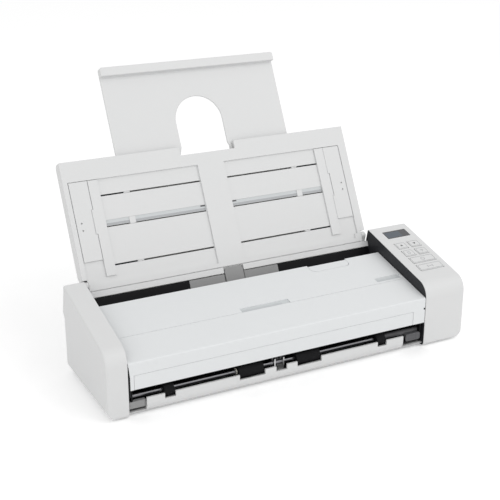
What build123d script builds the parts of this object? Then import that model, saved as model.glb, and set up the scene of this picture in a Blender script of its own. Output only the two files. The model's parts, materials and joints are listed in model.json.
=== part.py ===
from build123d import *
import os
from math import acos, atan2, ceil, cos, degrees, hypot, pi, radians, sin, tan

os.makedirs("parts", exist_ok=True)

# Portable sheet-fed document scanner with its paper tray folded up and its extension pulled out.
# Millimetres. X runs to the scanner's right, Y to its back, Z up from the table.
# The sizes below count Y from the middle of the body. The finished nodes are moved forward at the end,
# so that their origin lies on the table under the middle of the opened scanner.

# Fits, gaps and walls
wall = 2.0
seat_gap = 0.2
seam = 0.25
running_gap = 0.05
nip_gap = 0.3
bay_clearance = 0.6
side_plate_thickness = 2.0
cut_margin = 2.0

# Widths, driven by half the width of the widest paper
paper_half = 107.7
post_edge = 1.0
post_width = 6.2
guide_inner_edge = 1.2
hinge_offset = 0.9
flap_reach = 14.8
flap_clearance = 0.6
left_margin = 3.8
right_margin = 7.4
left_block_width = 16.8
right_block_width = 38.8
post_outer = paper_half - post_edge
post_inner = post_outer - post_width
guide_inner = post_inner - guide_inner_edge
guide_hinge = paper_half + hinge_offset
recess_half = guide_hinge + flap_reach + flap_clearance
bay_width = 2 * (recess_half + bay_clearance) + left_margin + right_margin
body_width = left_block_width + bay_width + right_block_width
bay_left = -body_width / 2 + left_block_width
bay_right = body_width / 2 - right_block_width
paper_centre_x = bay_left + bay_clearance + left_margin + recess_half

# Body: its depth, its floor and the end blocks seen from the side
body_depth = 91.0
front_y = -body_depth / 2
back_y = body_depth / 2
foot_height = 1.0
base_z = foot_height
floor_z = base_z + wall
block_tilt = 13.76
block_top_back_y = back_y - 2.15
block_top_back_z = 75.4
bulge_y = back_y + 3.5
bulge_z = block_top_back_z - 24.4
bulge_foot_z = bulge_z - 4.0
block_front_radius = 13.0
block_foot_radius = 3.0
block_ridge_radius = 1.0
block_side_radius = 1.5
block_corner_radius = 10.0
rear_top_z = block_top_back_z - 15.5

# Front lip and slot
lip_top_z = 14.2
lip_thickness = 1.5
lip_radius = 8.0
lip_notch_drop = 4.2
lip_notch_margin = 0.5
lip_end_notch_width = 14.0
lip_end_notch_extra = 6.8
lip_end_notch_z = floor_z + 0.9
slot_height = 8.4

# Scan cover
cover_tilt = 12.65
cover_back_y = back_y - 19.3
cover_back_z = rear_top_z + 0.46
cover_lower_z = lip_top_z + slot_height
cover_wall = 1.8
cover_edge_radius = 1.5
cover_lip_height = 5.0
cover_left = bay_left + bay_clearance
cover_right = bay_right - bay_clearance
cover_hollow_y = 6.0
crease_y = cover_back_y - 41.8
crease_width = 0.5
crease_depth = 0.4
crease_left_margin = 5.0
crease_right_margin = 1.5
finger_recess_half = 21.6
finger_recess_length = 5.4
finger_recess_depth = 0.8
end_recess_length = 24.5
end_recess_shift = 2.4
strip_top_z = cover_lower_z + 11.4
strip_left_inset = 4.2
strip_right_inset = 11.6
strip_clip_thickness = 1.2
strip_clip_low = 3.0
strip_clip_high = 2.5

# Release tab of the cover
release_x = cover_right - 52.6
release_half = 18.4
release_length = 10.2
release_travel = 1.0
release_setback = 2.2
release_corner = 4.5
hook_half = 6.0
hook_thickness = 1.6
hook_inset = 3.4
hook_length = 6.0

# Exit rollers and the pinch rollers over them
exit_y = front_y + 7.5
exit_centre_x = paper_centre_x - 2.6
exit_z = lip_top_z
exit_shaft_radius = 2.0
exit_roller_radius = 6.0
exit_big_width = 21.0
exit_big_offset = 25.1
exit_small_width = 7.8
exit_small_offset = 93.2
pinch_radius = 2.8
pinch_shaft_radius = 1.2
pinch_side_gap = 0.5
pinch_ear_thickness = 2.0
pinch_ear_gap = 1.4
pinch_ear_front = 1.9
pinch_ear_back = 5.0
pinch_ear_low = 1.8
pinch_ear_high = 2.6

# Spring clip of the exit shaft
clip_x = exit_centre_x + 0.2
clip_width = 8.6
clip_thickness = 0.8
clip_half_depth = 3.4
clip_height = 4.4
clip_mouth_half = 1.2

# Cover hinge low at the front
cover_axis_y = front_y + 6.0
cover_axis_z = exit_z - 5.8
cover_pin_radius = 1.5
cover_knuckle_radius = 3.5
cover_knuckle_width = 11.0
right_knuckle_extra = 4.0
cover_arm_thickness = 1.2
cover_arm_gap = 0.5
cover_arm_low = 4.0
cover_arm_high = 14.0

# Paper path: down the tray plane, round one bend and out over the exit rollers
bend_radius = 25.0
guide_thickness = 1.6
lower_guide_gap = 0.4
upper_guide_gap = 1.4
guide_front_y = exit_y + 7.0
upper_guide_front_y = front_y + 3.0
mouth_turn = 6.0
roller_margin = 0.8
feed_roller_radius = 9.0
feed_hub_radius = 5.0
feed_shaft_radius = 3.0
feed_tyre_width = 16.0
feed_tyre_offset = 14.0
separation_radius = 6.5
separation_width = 40.0
separation_shaft_radius = 2.5
separation_ear_gap = 1.0
separation_ear_reach = 4.0
holder_front = 11.0
holder_back = 2.5
holder_plate = 1.5
holder_gap = 0.1
holder_foot = 3.6

# Bushes of the two driven shafts
bush_wall = 1.2
bush_fit = 0.02
bush_flange = 1.0

# Image sensors
sensor_length = 226.0
sensor_depth = 14.0
sensor_height = 10.0
sensor_glass = 1.2
lower_sensor_y = exit_y + 21.0
upper_sensor_y = exit_y + 35.0

# Tray plane and tray hinge
tray_lean = 27.7
tray_y = back_y
tray_z = rear_top_z + 8.85
tray_axis_y = tray_y + 2.9
tray_axis_z = tray_z + 0.25
tray_bottom_s = -3.4
guide_high_s = 83.0
recess_top_s = guide_high_s + 0.5
tray_top_s = recess_top_s + 16.4
tray_thickness = 12.4
tray_tip_thickness = 10.7
tray_tip_radius = 4.5
tray_heel_s = 9.0
tray_heel_radius = 3.0
tray_floor_s = 1.6
tray_pin_radius = 1.4
tray_pin_grip = 1.0
tray_boss_radius = 2.2
tray_boss_width = 6.0
tray_lug_radius = 2.9
tray_lug_width = 4.0
tray_left = bay_left + bay_clearance
tray_right = bay_right - bay_clearance
boss_side_gap = 0.3
lug_room_reach = 4.0
front_plate = 2.6
recess_depth = 1.5
island_half = 12.0

# Side guides with their rack and pinion
guide_travel = 60.0
guide_low_s = 19.5
guide_front = 0.1
guide_back = recess_depth - 0.1
guide_pin_radius = 0.35
guide_foot_reach = 8.0
slot_side_gap = 0.2
slot_end_gap = 0.7
slot_inner = island_half + 0.3
slot_outer = post_outer + slot_end_gap
thin_slot = 1.3
upper_slot_s = guide_high_s - 13.0
lower_slot_s = 14.0
groove_low_s = 44.3
groove_width = 5.8
groove_high_s = groove_low_s + groove_width
groove_mid_s = (groove_low_s + groove_high_s) / 2
groove_floor = recess_depth + 0.4
groove_slit = 0.9
slit_side_gap = 0.15
flap_edge = 0.9
flap_knuckle_low_s = groove_mid_s - 7.2
flap_knuckle_high_s = groove_mid_s + 12.8
flap_dot_radius = 0.7
flap_dot_reach = 10.5
rack_front = front_plate + 0.1
rack_back = rack_front + 0.9
rack_depth = 2.5
rack_near_reach = 8.0
skid_outer = post_inner - 21.1
skid_inner = skid_outer - 5.1
skid_rise = 0.2
gear_module = 0.8
guide_pinion_teeth = 12
pinion_post_radius = 1.5
top_notch_left = paper_centre_x - 25.2
top_notch_right = paper_centre_x + 24.8
top_notch_s = tray_top_s - 6.7

# Extension
extension_travel = 65.4
extension_length = 90.6
extension_lip = 7.3
extension_top_s = tray_top_s + extension_travel + extension_lip + seat_gap
extension_low_s = extension_top_s - extension_length
extension_half = 79.0
extension_thickness = 1.6
extension_front = rack_back + 0.2
extension_back = extension_front + extension_thickness
lip_low_s = extension_top_s - extension_lip
extension_lip_front = -1.0
extension_corner = 1.2
extension_chamfer = 2.0
extension_side_gap = 0.4
extension_back_gap = 0.3
arch_half = 21.0
arch_centre_s = extension_top_s - 51.4
leg_chamfer_width = 2.6
leg_chamfer_top_s = tray_top_s + 0.3
rail_width = 5.1
rail_outer = extension_half + extension_side_gap
rail_inner = rail_outer - rail_width
rail_gap = 0.1
pinion_back = extension_back - 0.2
pinion_cap = 0.4

# Feed mouth
sill_low_s = -8.8
sill_top_s = tray_bottom_s - 0.7
guide_top_s = sill_low_s - 0.7
insert_half = 40.6
insert_top_s = sill_low_s - 0.8
insert_low_s = insert_top_s - 15.2
tab_half = 8.3
tab_top_s = sill_top_s - 0.3
tab_low_s = insert_top_s - 6.4
tab_thickness = 1.2
tab_corner = 4.0
tab_side_gap = 0.8
tab_pin_radius = 0.7
tab_pin_depth = 2.6
tab_barrel_radius = 1.5
tab_web_half = 0.8
tab_notch_depth = 3.0
ear_width = 2.0
ear_half_height = 2.4
ear_depth = tab_pin_depth + 1.8
sill_swing_front = (-2.6, -5.3)
sill_swing_back = (0.4, -6.1)
sill_back_edge = 1.8
sill_back_height = 2.3
sill_foot_front = 4.5
sill_foot_back = 0.3
web_front_foot = (-1.8, -6.0)
web_back_foot = (1.8, -7.0)
web_back_top = (2.6, -1.0)
web_front_top = (-2.4, -1.6)

# Drive train in the right block
gear_clearance = 0.8
gear_start_x = bay_right + side_plate_thickness + bush_flange + gear_clearance
gear_width = 4.0
exit_gear_teeth = 11
front_idler_teeth = 34
motor_pinion_teeth = 12
back_idler_teeth = 34
feed_gear_teeth = 17
tooth_thinning = 0.16
pressure = radians(20.0)
tooth_tip = 0.8
tooth_root = 1.1
idler_pin_radius = 1.5
idler_pin_end = 0.6
motor_radius = 12.0
motor_length = 22.0
motor_shaft_radius = 1.0
motor_nose_radius = 3.5
motor_gap = 2.0
motor_plate_thickness = 1.2
motor_x = gear_start_x + gear_width + motor_gap + motor_plate_thickness
motor_screw_radius = 1.8
motor_screw_head = 0.8
motor_screw_reach = 8.0
bracket_leg_radius = 1.6
bracket_leg_reach = motor_radius - bracket_leg_radius / 2
bracket_leg_turn = 35.0

# Control panel on the right block
panel_x = bay_right + right_block_width / 2 + 1.6
window_y = block_top_back_y - 13.3
window_width = 23.2
window_length = 10.6
key_gap = 0.3
key_height = 0.5
key_travel = 0.5
key_flange = 1.0
key_corner = 1.5
key_width = 10.0
key_length = 8.6
bar_key_length = 8.4
key_spacing = 1.3
key_column_half = key_width / 2 + key_flange + key_spacing / 2
key_row_far = window_y - (window_length + key_length) / 2 - 7.85
key_row_near = key_row_far - key_length - 2 * key_flange - 0.7
bar_key_width = 2 * key_column_half + key_width
bar_row_far = key_row_near - (key_length + bar_key_length) / 2 - 2 * key_flange - 0.2
bar_row_near = bar_row_far - bar_key_length - 2 * key_flange - 0.6
board_thickness = 1.4
panel_board_drop = 6.2
post_size = 2.2
switch_size = 4.5

# Electronics on the floor
board_length = 146.0
board_depth = 38.6
board_right = bay_right - 7.2
board_left = board_right - board_length
board_back_y = back_y - wall - 0.9
board_front_y = board_back_y - board_depth
board_z = floor_z + 3.5
board_post_inset = 5.0
board_post_back_inset = 9.0
chip_row_y = board_back_y - 20.6
coil_y = chip_row_y - 4.0
jack_x = board_right - 20.0
jack_width = 9.0
jack_height = 11.0
jack_bore_radius = 2.75
jack_entry_depth = 4.0
jack_chamber_radius = 3.1
jack_bore_depth = 9.0
jack_body_depth = 12.0
jack_collar = 0.8
jack_pin_radius = 0.65
jack_pin_recess = 5.0
usb_x = jack_x - 22.0
usb_width = 7.6
usb_height = 4.0
usb_depth = 9.0
usb_skin = 0.4
usb_tongue_height = 0.8

# Fasteners, steel beams, feet and vents
screw_radius = 1.25
screw_head_radius = 2.5
screw_head_height = 1.4
screw_slot = 0.6
boss_radius = 3.2
boss_top_z = floor_z + 2.5
boss_columns = (bay_left + 23.2, paper_centre_x - 49.2, paper_centre_x + 42.8, bay_right - 21.2)
front_boss_y = front_y + 22.1
middle_boss_y = front_y + 39.5
beam_thickness = 1.0
beam_height = 6.0
beam_half_width = 5.0
beam_low_z = boss_top_z
beam_top_z = beam_low_z + beam_thickness
foot_radius = 5.0
foot_sink = 1.0
foot_side_inset = 14.0
foot_front_inset = 13.0
foot_back_inset = 10.0
vent_count = 9
vent_y = back_y - 25.5
vent_pitch = 7.0
vent_width = 2.5
vent_length = 24.0
floor_back_y = back_y - wall - seat_gap

# Directions and planes of the tray, the block tops and the paper path
lean = radians(tray_lean)
tray_front = (0, -cos(lean), sin(lean))
TRAY = Plane(origin=(0, tray_y, tray_z), x_dir=(1, 0, 0), z_dir=tray_front)
tilt = radians(block_tilt)
block_normal = (0, -sin(tilt), cos(tilt))
PANEL = Plane(origin=(0, block_top_back_y, block_top_back_z), x_dir=(1, 0, 0), z_dir=block_normal)
cover_slope = tan(radians(cover_tilt))
exit_top_y = exit_y - exit_roller_radius * sin(tilt)
exit_top_z = exit_z + exit_roller_radius * cos(tilt)
PATH = Plane(origin=(0, exit_top_y, exit_top_z), x_dir=(1, 0, 0), z_dir=block_normal)


def box(x_low, x_high, y_low, y_high, z_low, z_high):
    """Box between two corners."""
    size = (x_high - x_low, y_high - y_low, z_high - z_low)
    centre = ((x_low + x_high) / 2, (y_low + y_high) / 2, (z_low + z_high) / 2)
    return Pos(*centre) * Box(*size)


def rounded(points, corners):
    """Polygon through points, with (point, radius) pairs rounded."""
    shape = Polygon(*points, align=None)
    for point, radius in corners:
        shape = fillet(shape.vertices().sort_by_distance((point[0], point[1], 0))[0], radius)
    return shape


def across(profile, x_low, x_high):
    """Profile in the Y and Z directions, extruded along X."""
    return Pos(x_low, 0, 0) * extrude(Plane.YZ * profile, amount=x_high - x_low, dir=(1, 0, 0))


def upright(profile, z_low, z_high):
    """Profile in the X and Y directions, extruded along Z."""
    return Pos(0, 0, z_low) * extrude(profile, amount=z_high - z_low, dir=(0, 0, 1))


def rod(x_low, x_high, y, z, radius):
    """Round bar along X."""
    return across(Pos(y, z) * Circle(radius), x_low, x_high)


def slab(x_low, x_high, s_low, s_high, front, back):
    """Box in the tray: s runs up the tray, front and back are depths behind its face."""
    return box(x_low, x_high, s_low, s_high, -back, -front)


def tray_point(s, depth):
    """Y and Z of a point given along the tray and behind its face."""
    y = tray_y + s * sin(lean) + depth * cos(lean)
    z = tray_z + s * cos(lean) - depth * sin(lean)
    return (y, z)


def tray_local(y, z):
    """Height up the tray and depth behind its face of a point."""
    s = (y - tray_y) * sin(lean) + (z - tray_z) * cos(lean)
    depth = (y - tray_y) * cos(lean) - (z - tray_z) * sin(lean)
    return (s, depth)


def path_point(t, height):
    """Y and Z of a point along the flat part of the paper path."""
    y = exit_top_y + t * cos(tilt) - height * sin(tilt)
    z = exit_top_z + t * sin(tilt) + height * cos(tilt)
    return (y, z)


def path_at(y):
    """Distance along the flat paper path at a given Y."""
    return (y - exit_top_y) / cos(tilt)


def cover_z(y):
    """Height of the cover's top face."""
    return cover_back_z - (cover_back_y - y) * cover_slope


# Paper bend: where the tray plane and the flat path meet, and the bend's centre
def bend_geometry():
    """Corner, centre and the two angles of the paper bend."""
    rise = tan(tilt)
    run = tan(lean)
    corner_y = (tray_y + run * (exit_top_z - exit_top_y * rise - tray_z)) / (1 - run * rise)
    corner_z = exit_top_z + (corner_y - exit_top_y) * rise
    turn = (90.0 - tray_lean - block_tilt) / 2
    reach = bend_radius * tan(radians(turn))
    start_t = path_at(corner_y) - reach
    centre = path_point(start_t, bend_radius)
    return start_t, centre, -90.0 + block_tilt, -tray_lean, (corner_y, corner_z)


bend_start_t, bend_centre, bend_low_angle, bend_high_angle, bend_corner = bend_geometry()
bend_end_s = tray_local(*bend_corner)[0] + bend_radius * tan(radians((90 - tray_lean - block_tilt) / 2))
nip_angle = radians((bend_low_angle + bend_high_angle) / 2)


def from_bend(distance):
    """Point on the line from the bend's centre through its middle."""
    return (bend_centre[0] + distance * cos(nip_angle), bend_centre[1] + distance * sin(nip_angle))


feed_y, feed_z = from_bend(bend_radius + feed_roller_radius)
separation_y, separation_z = from_bend(bend_radius - separation_radius - nip_gap)
pinch_reach = exit_roller_radius + pinch_radius + nip_gap
pinch_y = exit_y - pinch_reach * sin(tilt)
pinch_z = exit_z + pinch_reach * cos(tilt)


# End blocks
def block_profile(inset):
    """Side outline of an end block, drawn in by inset."""
    front_top_z = block_top_back_z - (block_top_back_y - front_y) * tan(tilt)
    points = [
        (front_y, base_z),
        (back_y, base_z),
        (back_y, bulge_foot_z),
        (bulge_y, bulge_z),
        (block_top_back_y, block_top_back_z),
        (front_y, front_top_z),
    ]
    corners = [
        (points[0], block_foot_radius),
        (points[1], block_foot_radius),
        (points[4], block_ridge_radius),
        (points[5], block_front_radius),
    ]
    profile = rounded(points, corners)
    if inset > 0:
        profile = offset(profile, -inset, kind=Kind.INTERSECTION)
    return profile


def block_section(x_low, x_high, outer_side, inset):
    """Front outline of an end block: one bottom corner is well rounded."""
    low = min(x_low, x_high)
    high = max(x_low, x_high)
    bottom = base_z + inset
    top = block_top_back_z + wall
    corner = (low, bottom) if outer_side < 0 else (high, bottom)
    points = [(low, bottom), (high, bottom), (high, top), (low, top)]
    profile = rounded(points, [(corner, block_corner_radius - inset)])
    depth = bulge_y - front_y + 2 * wall
    return Pos(0, bulge_y + wall, 0) * extrude(Plane.XZ * profile, amount=depth, dir=(0, -1, 0))


def block_shell(x_inner, outer_side):
    """Hollow end block, open towards the bay."""
    x_outer = outer_side * body_width / 2
    solid = across(block_profile(0), min(x_inner, x_outer), max(x_inner, x_outer))
    outer_face = solid.faces().sort_by(Axis.X)[0 if outer_side < 0 else -1]
    solid = fillet(outer_face.edges(), block_side_radius)
    solid = solid & block_section(x_inner, x_outer, outer_side, 0)
    x_open = x_inner - outer_side * wall
    x_hollow = x_outer - outer_side * wall
    hollow = across(block_profile(wall), min(x_open, x_hollow), max(x_open, x_hollow))
    hollow = hollow & block_section(x_open, x_hollow, outer_side, wall)
    return solid - hollow


def panel_u(y):
    """Distance along the block's top face at a given Y."""
    return (y - block_top_back_y) / cos(tilt)


def panel_box(x, y, width, length, low, high):
    """Box on the block's top face, given its centre and the heights above the face."""
    u = panel_u(y)
    return PANEL * box(x - width / 2, x + width / 2, u - length / 2, u + length / 2, low, high)


key_places = {
    "key_up": (panel_x - key_column_half, key_row_far, key_width, key_length),
    "key_down": (panel_x + key_column_half, key_row_far, key_width, key_length),
    "key_mode": (panel_x - key_column_half, key_row_near, key_width, key_length),
    "key_wireless": (panel_x + key_column_half, key_row_near, key_width, key_length),
    "key_power": (panel_x, bar_row_far, bar_key_width, bar_key_length),
    "key_scan": (panel_x, bar_row_near, bar_key_width, bar_key_length),
}
board_low_y = bar_row_near - bar_key_length / 2 - wall - post_size
board_high_y = window_y + window_length / 2 + wall + post_size
board_mid_y = (board_low_y + board_high_y) / 2
panel_board_length = (board_high_y - board_low_y) / cos(tilt)
panel_board_width = bar_key_width + 2 * wall


def board_posts():
    """Posts that hold the panel board under the right block's top."""
    posts = []
    for side in (-1, 1):
        for y in (board_low_y + post_size / 2, board_high_y - post_size / 2):
            x = panel_x + side * (panel_board_width - post_size) / 2
            posts.append(panel_box(x, y, post_size, post_size, -panel_board_drop, -wall / 2))
    return posts


def right_end_cap():
    """Right block with the display window, the key holes and the board posts."""
    cap = block_shell(bay_right, 1)
    cap -= panel_box(panel_x, window_y, window_width + key_gap, window_length + key_gap, -2 * wall, wall)
    for x, y, width, length in key_places.values():
        cap -= panel_box(x, y, width + 2 * key_gap, length + 2 * key_gap, -2 * wall, wall)
    cap += board_posts()
    return cap


def left_end_cap():
    """Left block."""
    return block_shell(bay_left, -1)


def key(x, y, width, length):
    """Key cap with its flange, proud of the block's top."""
    u = panel_u(y)
    face = Pos(x, u) * RectangleRounded(width, length, key_corner)
    skirt = wall + seat_gap
    cap = PANEL * upright(face, -skirt - key_flange, key_height)
    flange = panel_box(x, y, width + 2 * key_flange, length + 2 * key_flange, -skirt - key_flange, -skirt)
    return cap + flange


def panel_board():
    """Circuit board behind the display, with one push switch under each key."""
    low = -panel_board_drop - board_thickness
    board = panel_box(panel_x, board_mid_y, panel_board_width, panel_board_length, low, -panel_board_drop)
    top = wall + seat_gap + key_flange + key_travel + running_gap
    for x, y, width, length in key_places.values():
        board += panel_box(x, y, switch_size, switch_size, low, -top)
    return board


def display_window():
    """Clear window, flush with the block's top, with a flange below the wall."""
    pane = panel_box(panel_x, window_y, window_width, window_length, -wall - key_gap, -seat_gap)
    flange = panel_box(panel_x, window_y, window_width + wall, window_length + wall,
                       -wall - key_gap - key_flange, -wall - seat_gap)
    return pane + flange


def display_module():
    """Display behind the window."""
    top = wall + key_gap + key_flange + running_gap
    return panel_box(panel_x, window_y, window_width + wall, window_length + wall, -panel_board_drop, -top)


# Side plates
def side_plate(side):
    """Inner wall of one block: it carries shafts, pins and the sill."""
    x_bay = bay_left if side < 0 else bay_right
    x_out = x_bay + side * side_plate_thickness
    plate = across(block_profile(wall + seat_gap), min(x_bay, x_out), max(x_bay, x_out))
    low = min(x_bay, x_out) - wall
    high = max(x_bay, x_out) + wall
    for y, z, radius in ((exit_y, exit_z, exit_shaft_radius), (feed_y, feed_z, feed_shaft_radius)):
        plate -= rod(low, high, y, z, radius + bush_wall + bush_fit)
    plate -= rod(low, high, cover_axis_y, cover_axis_z, cover_pin_radius)
    return plate


def bush(side, y, z, radius):
    """Flanged bush of a shaft, pressed into a side plate from outside the bay."""
    x_bay = bay_left if side < 0 else bay_right
    x_face = x_bay + side * side_plate_thickness
    x_end = x_face + side * bush_flange
    sleeve = rod(min(x_bay, x_face), max(x_bay, x_face), y, z, radius + bush_wall)
    collar = rod(min(x_face, x_end), max(x_face, x_end), y, z, radius + 2 * bush_wall)
    bore = rod(min(x_bay, x_end) - wall, max(x_bay, x_end) + wall, y, z, radius + running_gap)
    return sleeve + collar - bore


def shaft_bushes():
    """Bushes of the exit shaft and the feed shaft."""
    bushes = []
    for side in (-1, 1):
        bushes.append(bush(side, exit_y, exit_z, exit_shaft_radius))
        bushes.append(bush(side, feed_y, feed_z, feed_shaft_radius))
    return bushes


# Base casing with its front lip
exit_roller_places = [
    (side * shift, width)
    for side in (-1, 1)
    for shift, width in ((exit_big_offset, exit_big_width), (exit_small_offset, exit_small_width))
]
boss_places = [(x, y) for x in boss_columns for y in (front_boss_y, middle_boss_y)]
board_posts_xy = [
    (x, y)
    for x in (board_left + board_post_inset, board_right - board_post_inset)
    for y in (board_front_y + board_post_inset, board_back_y - board_post_back_inset)
]
foot_places = [
    (x, y)
    for x in (bay_left + foot_side_inset, bay_right - foot_side_inset)
    for y in (front_y + foot_front_inset, back_y - foot_back_inset)
]


def lip_profile():
    """Floor and front lip in one section, curved under at the front."""
    outer = [
        (floor_back_y, base_z),
        (front_y, base_z),
        (front_y, lip_top_z),
        (front_y + lip_thickness, lip_top_z),
        (front_y + lip_thickness, floor_z),
        (floor_back_y, floor_z),
    ]
    corners = [(outer[1], lip_radius), (outer[4], lip_radius - lip_thickness)]
    return rounded(outer, corners)


def base_casing():
    """Bottom casing: floor, front lip with its notches, screw bosses and vents."""
    left = bay_left + seam
    right = bay_right - seam
    casing = across(lip_profile(), left, right)
    front = front_y - cut_margin
    reach = front_y + lip_radius + cut_margin
    top = lip_top_z + cut_margin
    notches = [(exit_centre_x + shift, width) for shift, width in exit_roller_places] + [(clip_x, clip_width)]
    for x, width in notches:
        half = width / 2 + lip_notch_margin
        casing -= box(x - half, x + half, front, reach, lip_top_z - lip_notch_drop, top)
    end_left = bay_left + lip_end_notch_width
    end_right = bay_right - lip_end_notch_width - lip_end_notch_extra
    end_back = cover_axis_y + cover_knuckle_radius + 1.0
    for low, high in ((left - cut_margin, end_left), (end_right, right + cut_margin)):
        casing -= box(low, high, front, end_back, lip_end_notch_z, top)
    for x, y in boss_places:
        boss = Pos(x, y, (floor_z + boss_top_z) / 2) * Cylinder(boss_radius, boss_top_z - floor_z)
        casing += boss
        casing -= Pos(x, y, base_z) * Cylinder(screw_radius + running_gap, 2 * boss_top_z)
        head_depth = seat_gap + screw_head_height
        casing -= Pos(x, y, base_z) * Cylinder(screw_head_radius + seat_gap, 2 * head_depth)
    for x, y in board_posts_xy:
        casing += Pos(x, y, (floor_z + board_z) / 2) * Cylinder(boss_radius, board_z - floor_z)
        casing -= Pos(x, y, board_z) * Cylinder(screw_radius, 2 * (board_z - floor_z))
    for x, y in foot_places:
        casing -= Pos(x, y, base_z) * Cylinder(foot_radius + seat_gap, 2 * foot_sink)
    for index in range(vent_count):
        x = paper_centre_x + (index - (vent_count - 1) / 2) * vent_pitch
        slot = SlotCenterToCenter(vent_length, vent_width, rotation=90)
        casing -= upright(Pos(x, vent_y) * slot, 0, floor_z + wall)
    return casing


def feet():
    """Four rubber feet set into the floor."""
    return [Pos(x, y, (base_z + foot_sink) / 2) * Cylinder(foot_radius, base_z + foot_sink) for x, y in foot_places]


def screw(x, y, z_low, z_high, direction):
    """Upright screw: its head is at z_low for direction 1, and at z_high for -1."""
    z_head = z_low if direction > 0 else z_high
    head = Pos(x, y, z_head + direction * screw_head_height / 2) * Cylinder(screw_head_radius, screw_head_height)
    shank = Pos(x, y, (z_low + z_high) / 2) * Cylinder(screw_radius, z_high - z_low)
    slot = Pos(x, y, z_head) * Box(2 * screw_head_radius, screw_slot, screw_head_height)
    return head + shank - slot


def case_screws():
    """Screws from below through the bottom casing into the beams, and screws of the main board."""
    screws = [screw(x, y, base_z + seat_gap, beam_top_z + seat_gap, 1) for x, y in boss_places]
    top = board_z + board_thickness + screw_head_height
    screws += [screw(x, y, floor_z + seat_gap, top, -1) for x, y in board_posts_xy]
    return screws


# Steel beams between the side plates
def beam(y_centre):
    """Angle section from side plate to side plate, screwed to the casing's bosses."""
    y_low = y_centre - beam_half_width
    y_high = y_centre + beam_half_width
    angle = box(bay_left, bay_right, y_low, y_high, beam_low_z, beam_top_z)
    angle += box(bay_left, bay_right, y_low, y_low + beam_thickness, beam_low_z, beam_low_z + beam_height)
    for x in boss_columns:
        angle -= Pos(x, y_centre, beam_low_z) * Cylinder(screw_radius, 4 * beam_thickness)
    return angle


# Rear panel with the sockets
rear_share = (rear_top_z - bulge_z) / (block_top_back_z - bulge_z)
rear_top_y = bulge_y + (block_top_back_y - bulge_y) * rear_share


def rear_profile():
    """Section of the rear panel, with the same bulge as the blocks."""
    outer = [(back_y, base_z), (back_y, bulge_foot_z), (bulge_y, bulge_z), (rear_top_y, rear_top_z)]
    inner = [(y - wall, z) for y, z in reversed(outer)]
    return rounded(outer + inner, [(outer[0], wall / 2)])


def rear_panel():
    """Rear panel between the blocks, with openings for the three sockets."""
    panel = across(rear_profile(), bay_left + seam, bay_right - seam)
    top = board_z + board_thickness
    low_y = back_y - 2 * wall
    high_y = back_y + wall
    jack_hole = Cylinder(jack_bore_radius + jack_collar + seat_gap, 4 * wall)
    panel -= Pos(jack_x, back_y, top + jack_height / 2) * Rot(90, 0, 0) * jack_hole
    half = usb_width / 2 + seat_gap
    panel -= box(usb_x - half, usb_x + half, low_y, high_y, top - seat_gap, top + usb_height + seat_gap)
    return panel


# Electronics: processor, memory, coil and the two cable connectors, as place and size
board_components = (
    (board_left + 46.0, chip_row_y, 17.0, 17.0, 1.6),
    (board_left + 22.0, chip_row_y, 11.0, 13.0, 1.2),
    (board_left + 86.0, coil_y, 10.0, 10.0, 4.0),
    (board_left + 6.0, chip_row_y, 6.0, 14.0, 5.0),
    (board_right - 6.0, chip_row_y, 6.0, 14.0, 5.0),
)


def chip(x, y, width, depth, height):
    """Component soldered to the main board."""
    top = board_z + board_thickness
    return box(x - width / 2, x + width / 2, y - depth / 2, y + depth / 2, board_z, top + height)


def main_board():
    """Main circuit board with its processor, memory, coil and two cable connectors."""
    board = box(board_left, board_right, board_front_y, board_back_y, board_z, board_z + board_thickness)
    for x, y, width, depth, height in board_components:
        board += chip(x, y, width, depth, height)
    for x, y in board_posts_xy:
        board -= Pos(x, y, board_z) * Cylinder(screw_radius + running_gap, 4 * board_thickness)
    return board


def along_y(x, z, y_low, y_high, radius):
    """Round bar along Y."""
    return Pos(x, (y_low + y_high) / 2, z) * Rot(90, 0, 0) * Cylinder(radius, y_high - y_low)


def dc_jack():
    """Power inlet: round entry, wider chamber behind it and centre pin."""
    low = board_z + board_thickness
    mid = low + jack_height / 2
    y_face = back_y - seat_gap
    y_block = back_y - wall - seat_gap
    half = jack_width / 2
    block = box(jack_x - half, jack_x + half, y_block - jack_body_depth, y_block, low, low + jack_height)
    collar = along_y(jack_x, mid, y_block - wall, y_face, jack_bore_radius + jack_collar)
    y_entry = y_face - jack_entry_depth
    entry = along_y(jack_x, mid, y_entry, y_face + wall, jack_bore_radius)
    chamber = along_y(jack_x, mid, y_face - jack_bore_depth, y_entry, jack_chamber_radius)
    pin = along_y(jack_x, mid, y_face - jack_bore_depth - wall / 2, y_face - jack_pin_recess, jack_pin_radius)
    return block + collar - entry - chamber + pin


def usb_socket():
    """Data socket: metal shell, open to the back, and its tongue."""
    low = board_z + board_thickness
    half = usb_width / 2
    y_face = back_y - seat_gap
    y_floor = y_face - usb_depth + wall
    shell = box(usb_x - half, usb_x + half, y_face - usb_depth, y_face, low, low + usb_height)
    inner = half - usb_skin
    shell -= box(usb_x - inner, usb_x + inner, y_floor, y_face + wall, low + usb_skin, low + usb_height - usb_skin)
    tongue_half = half - 4 * usb_skin
    tongue_z = low + (usb_height - usb_tongue_height) / 2
    shell += box(usb_x - tongue_half, usb_x + tongue_half, y_floor - wall / 2, y_face - wall, tongue_z,
                 tongue_z + usb_tongue_height)
    return shell


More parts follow.
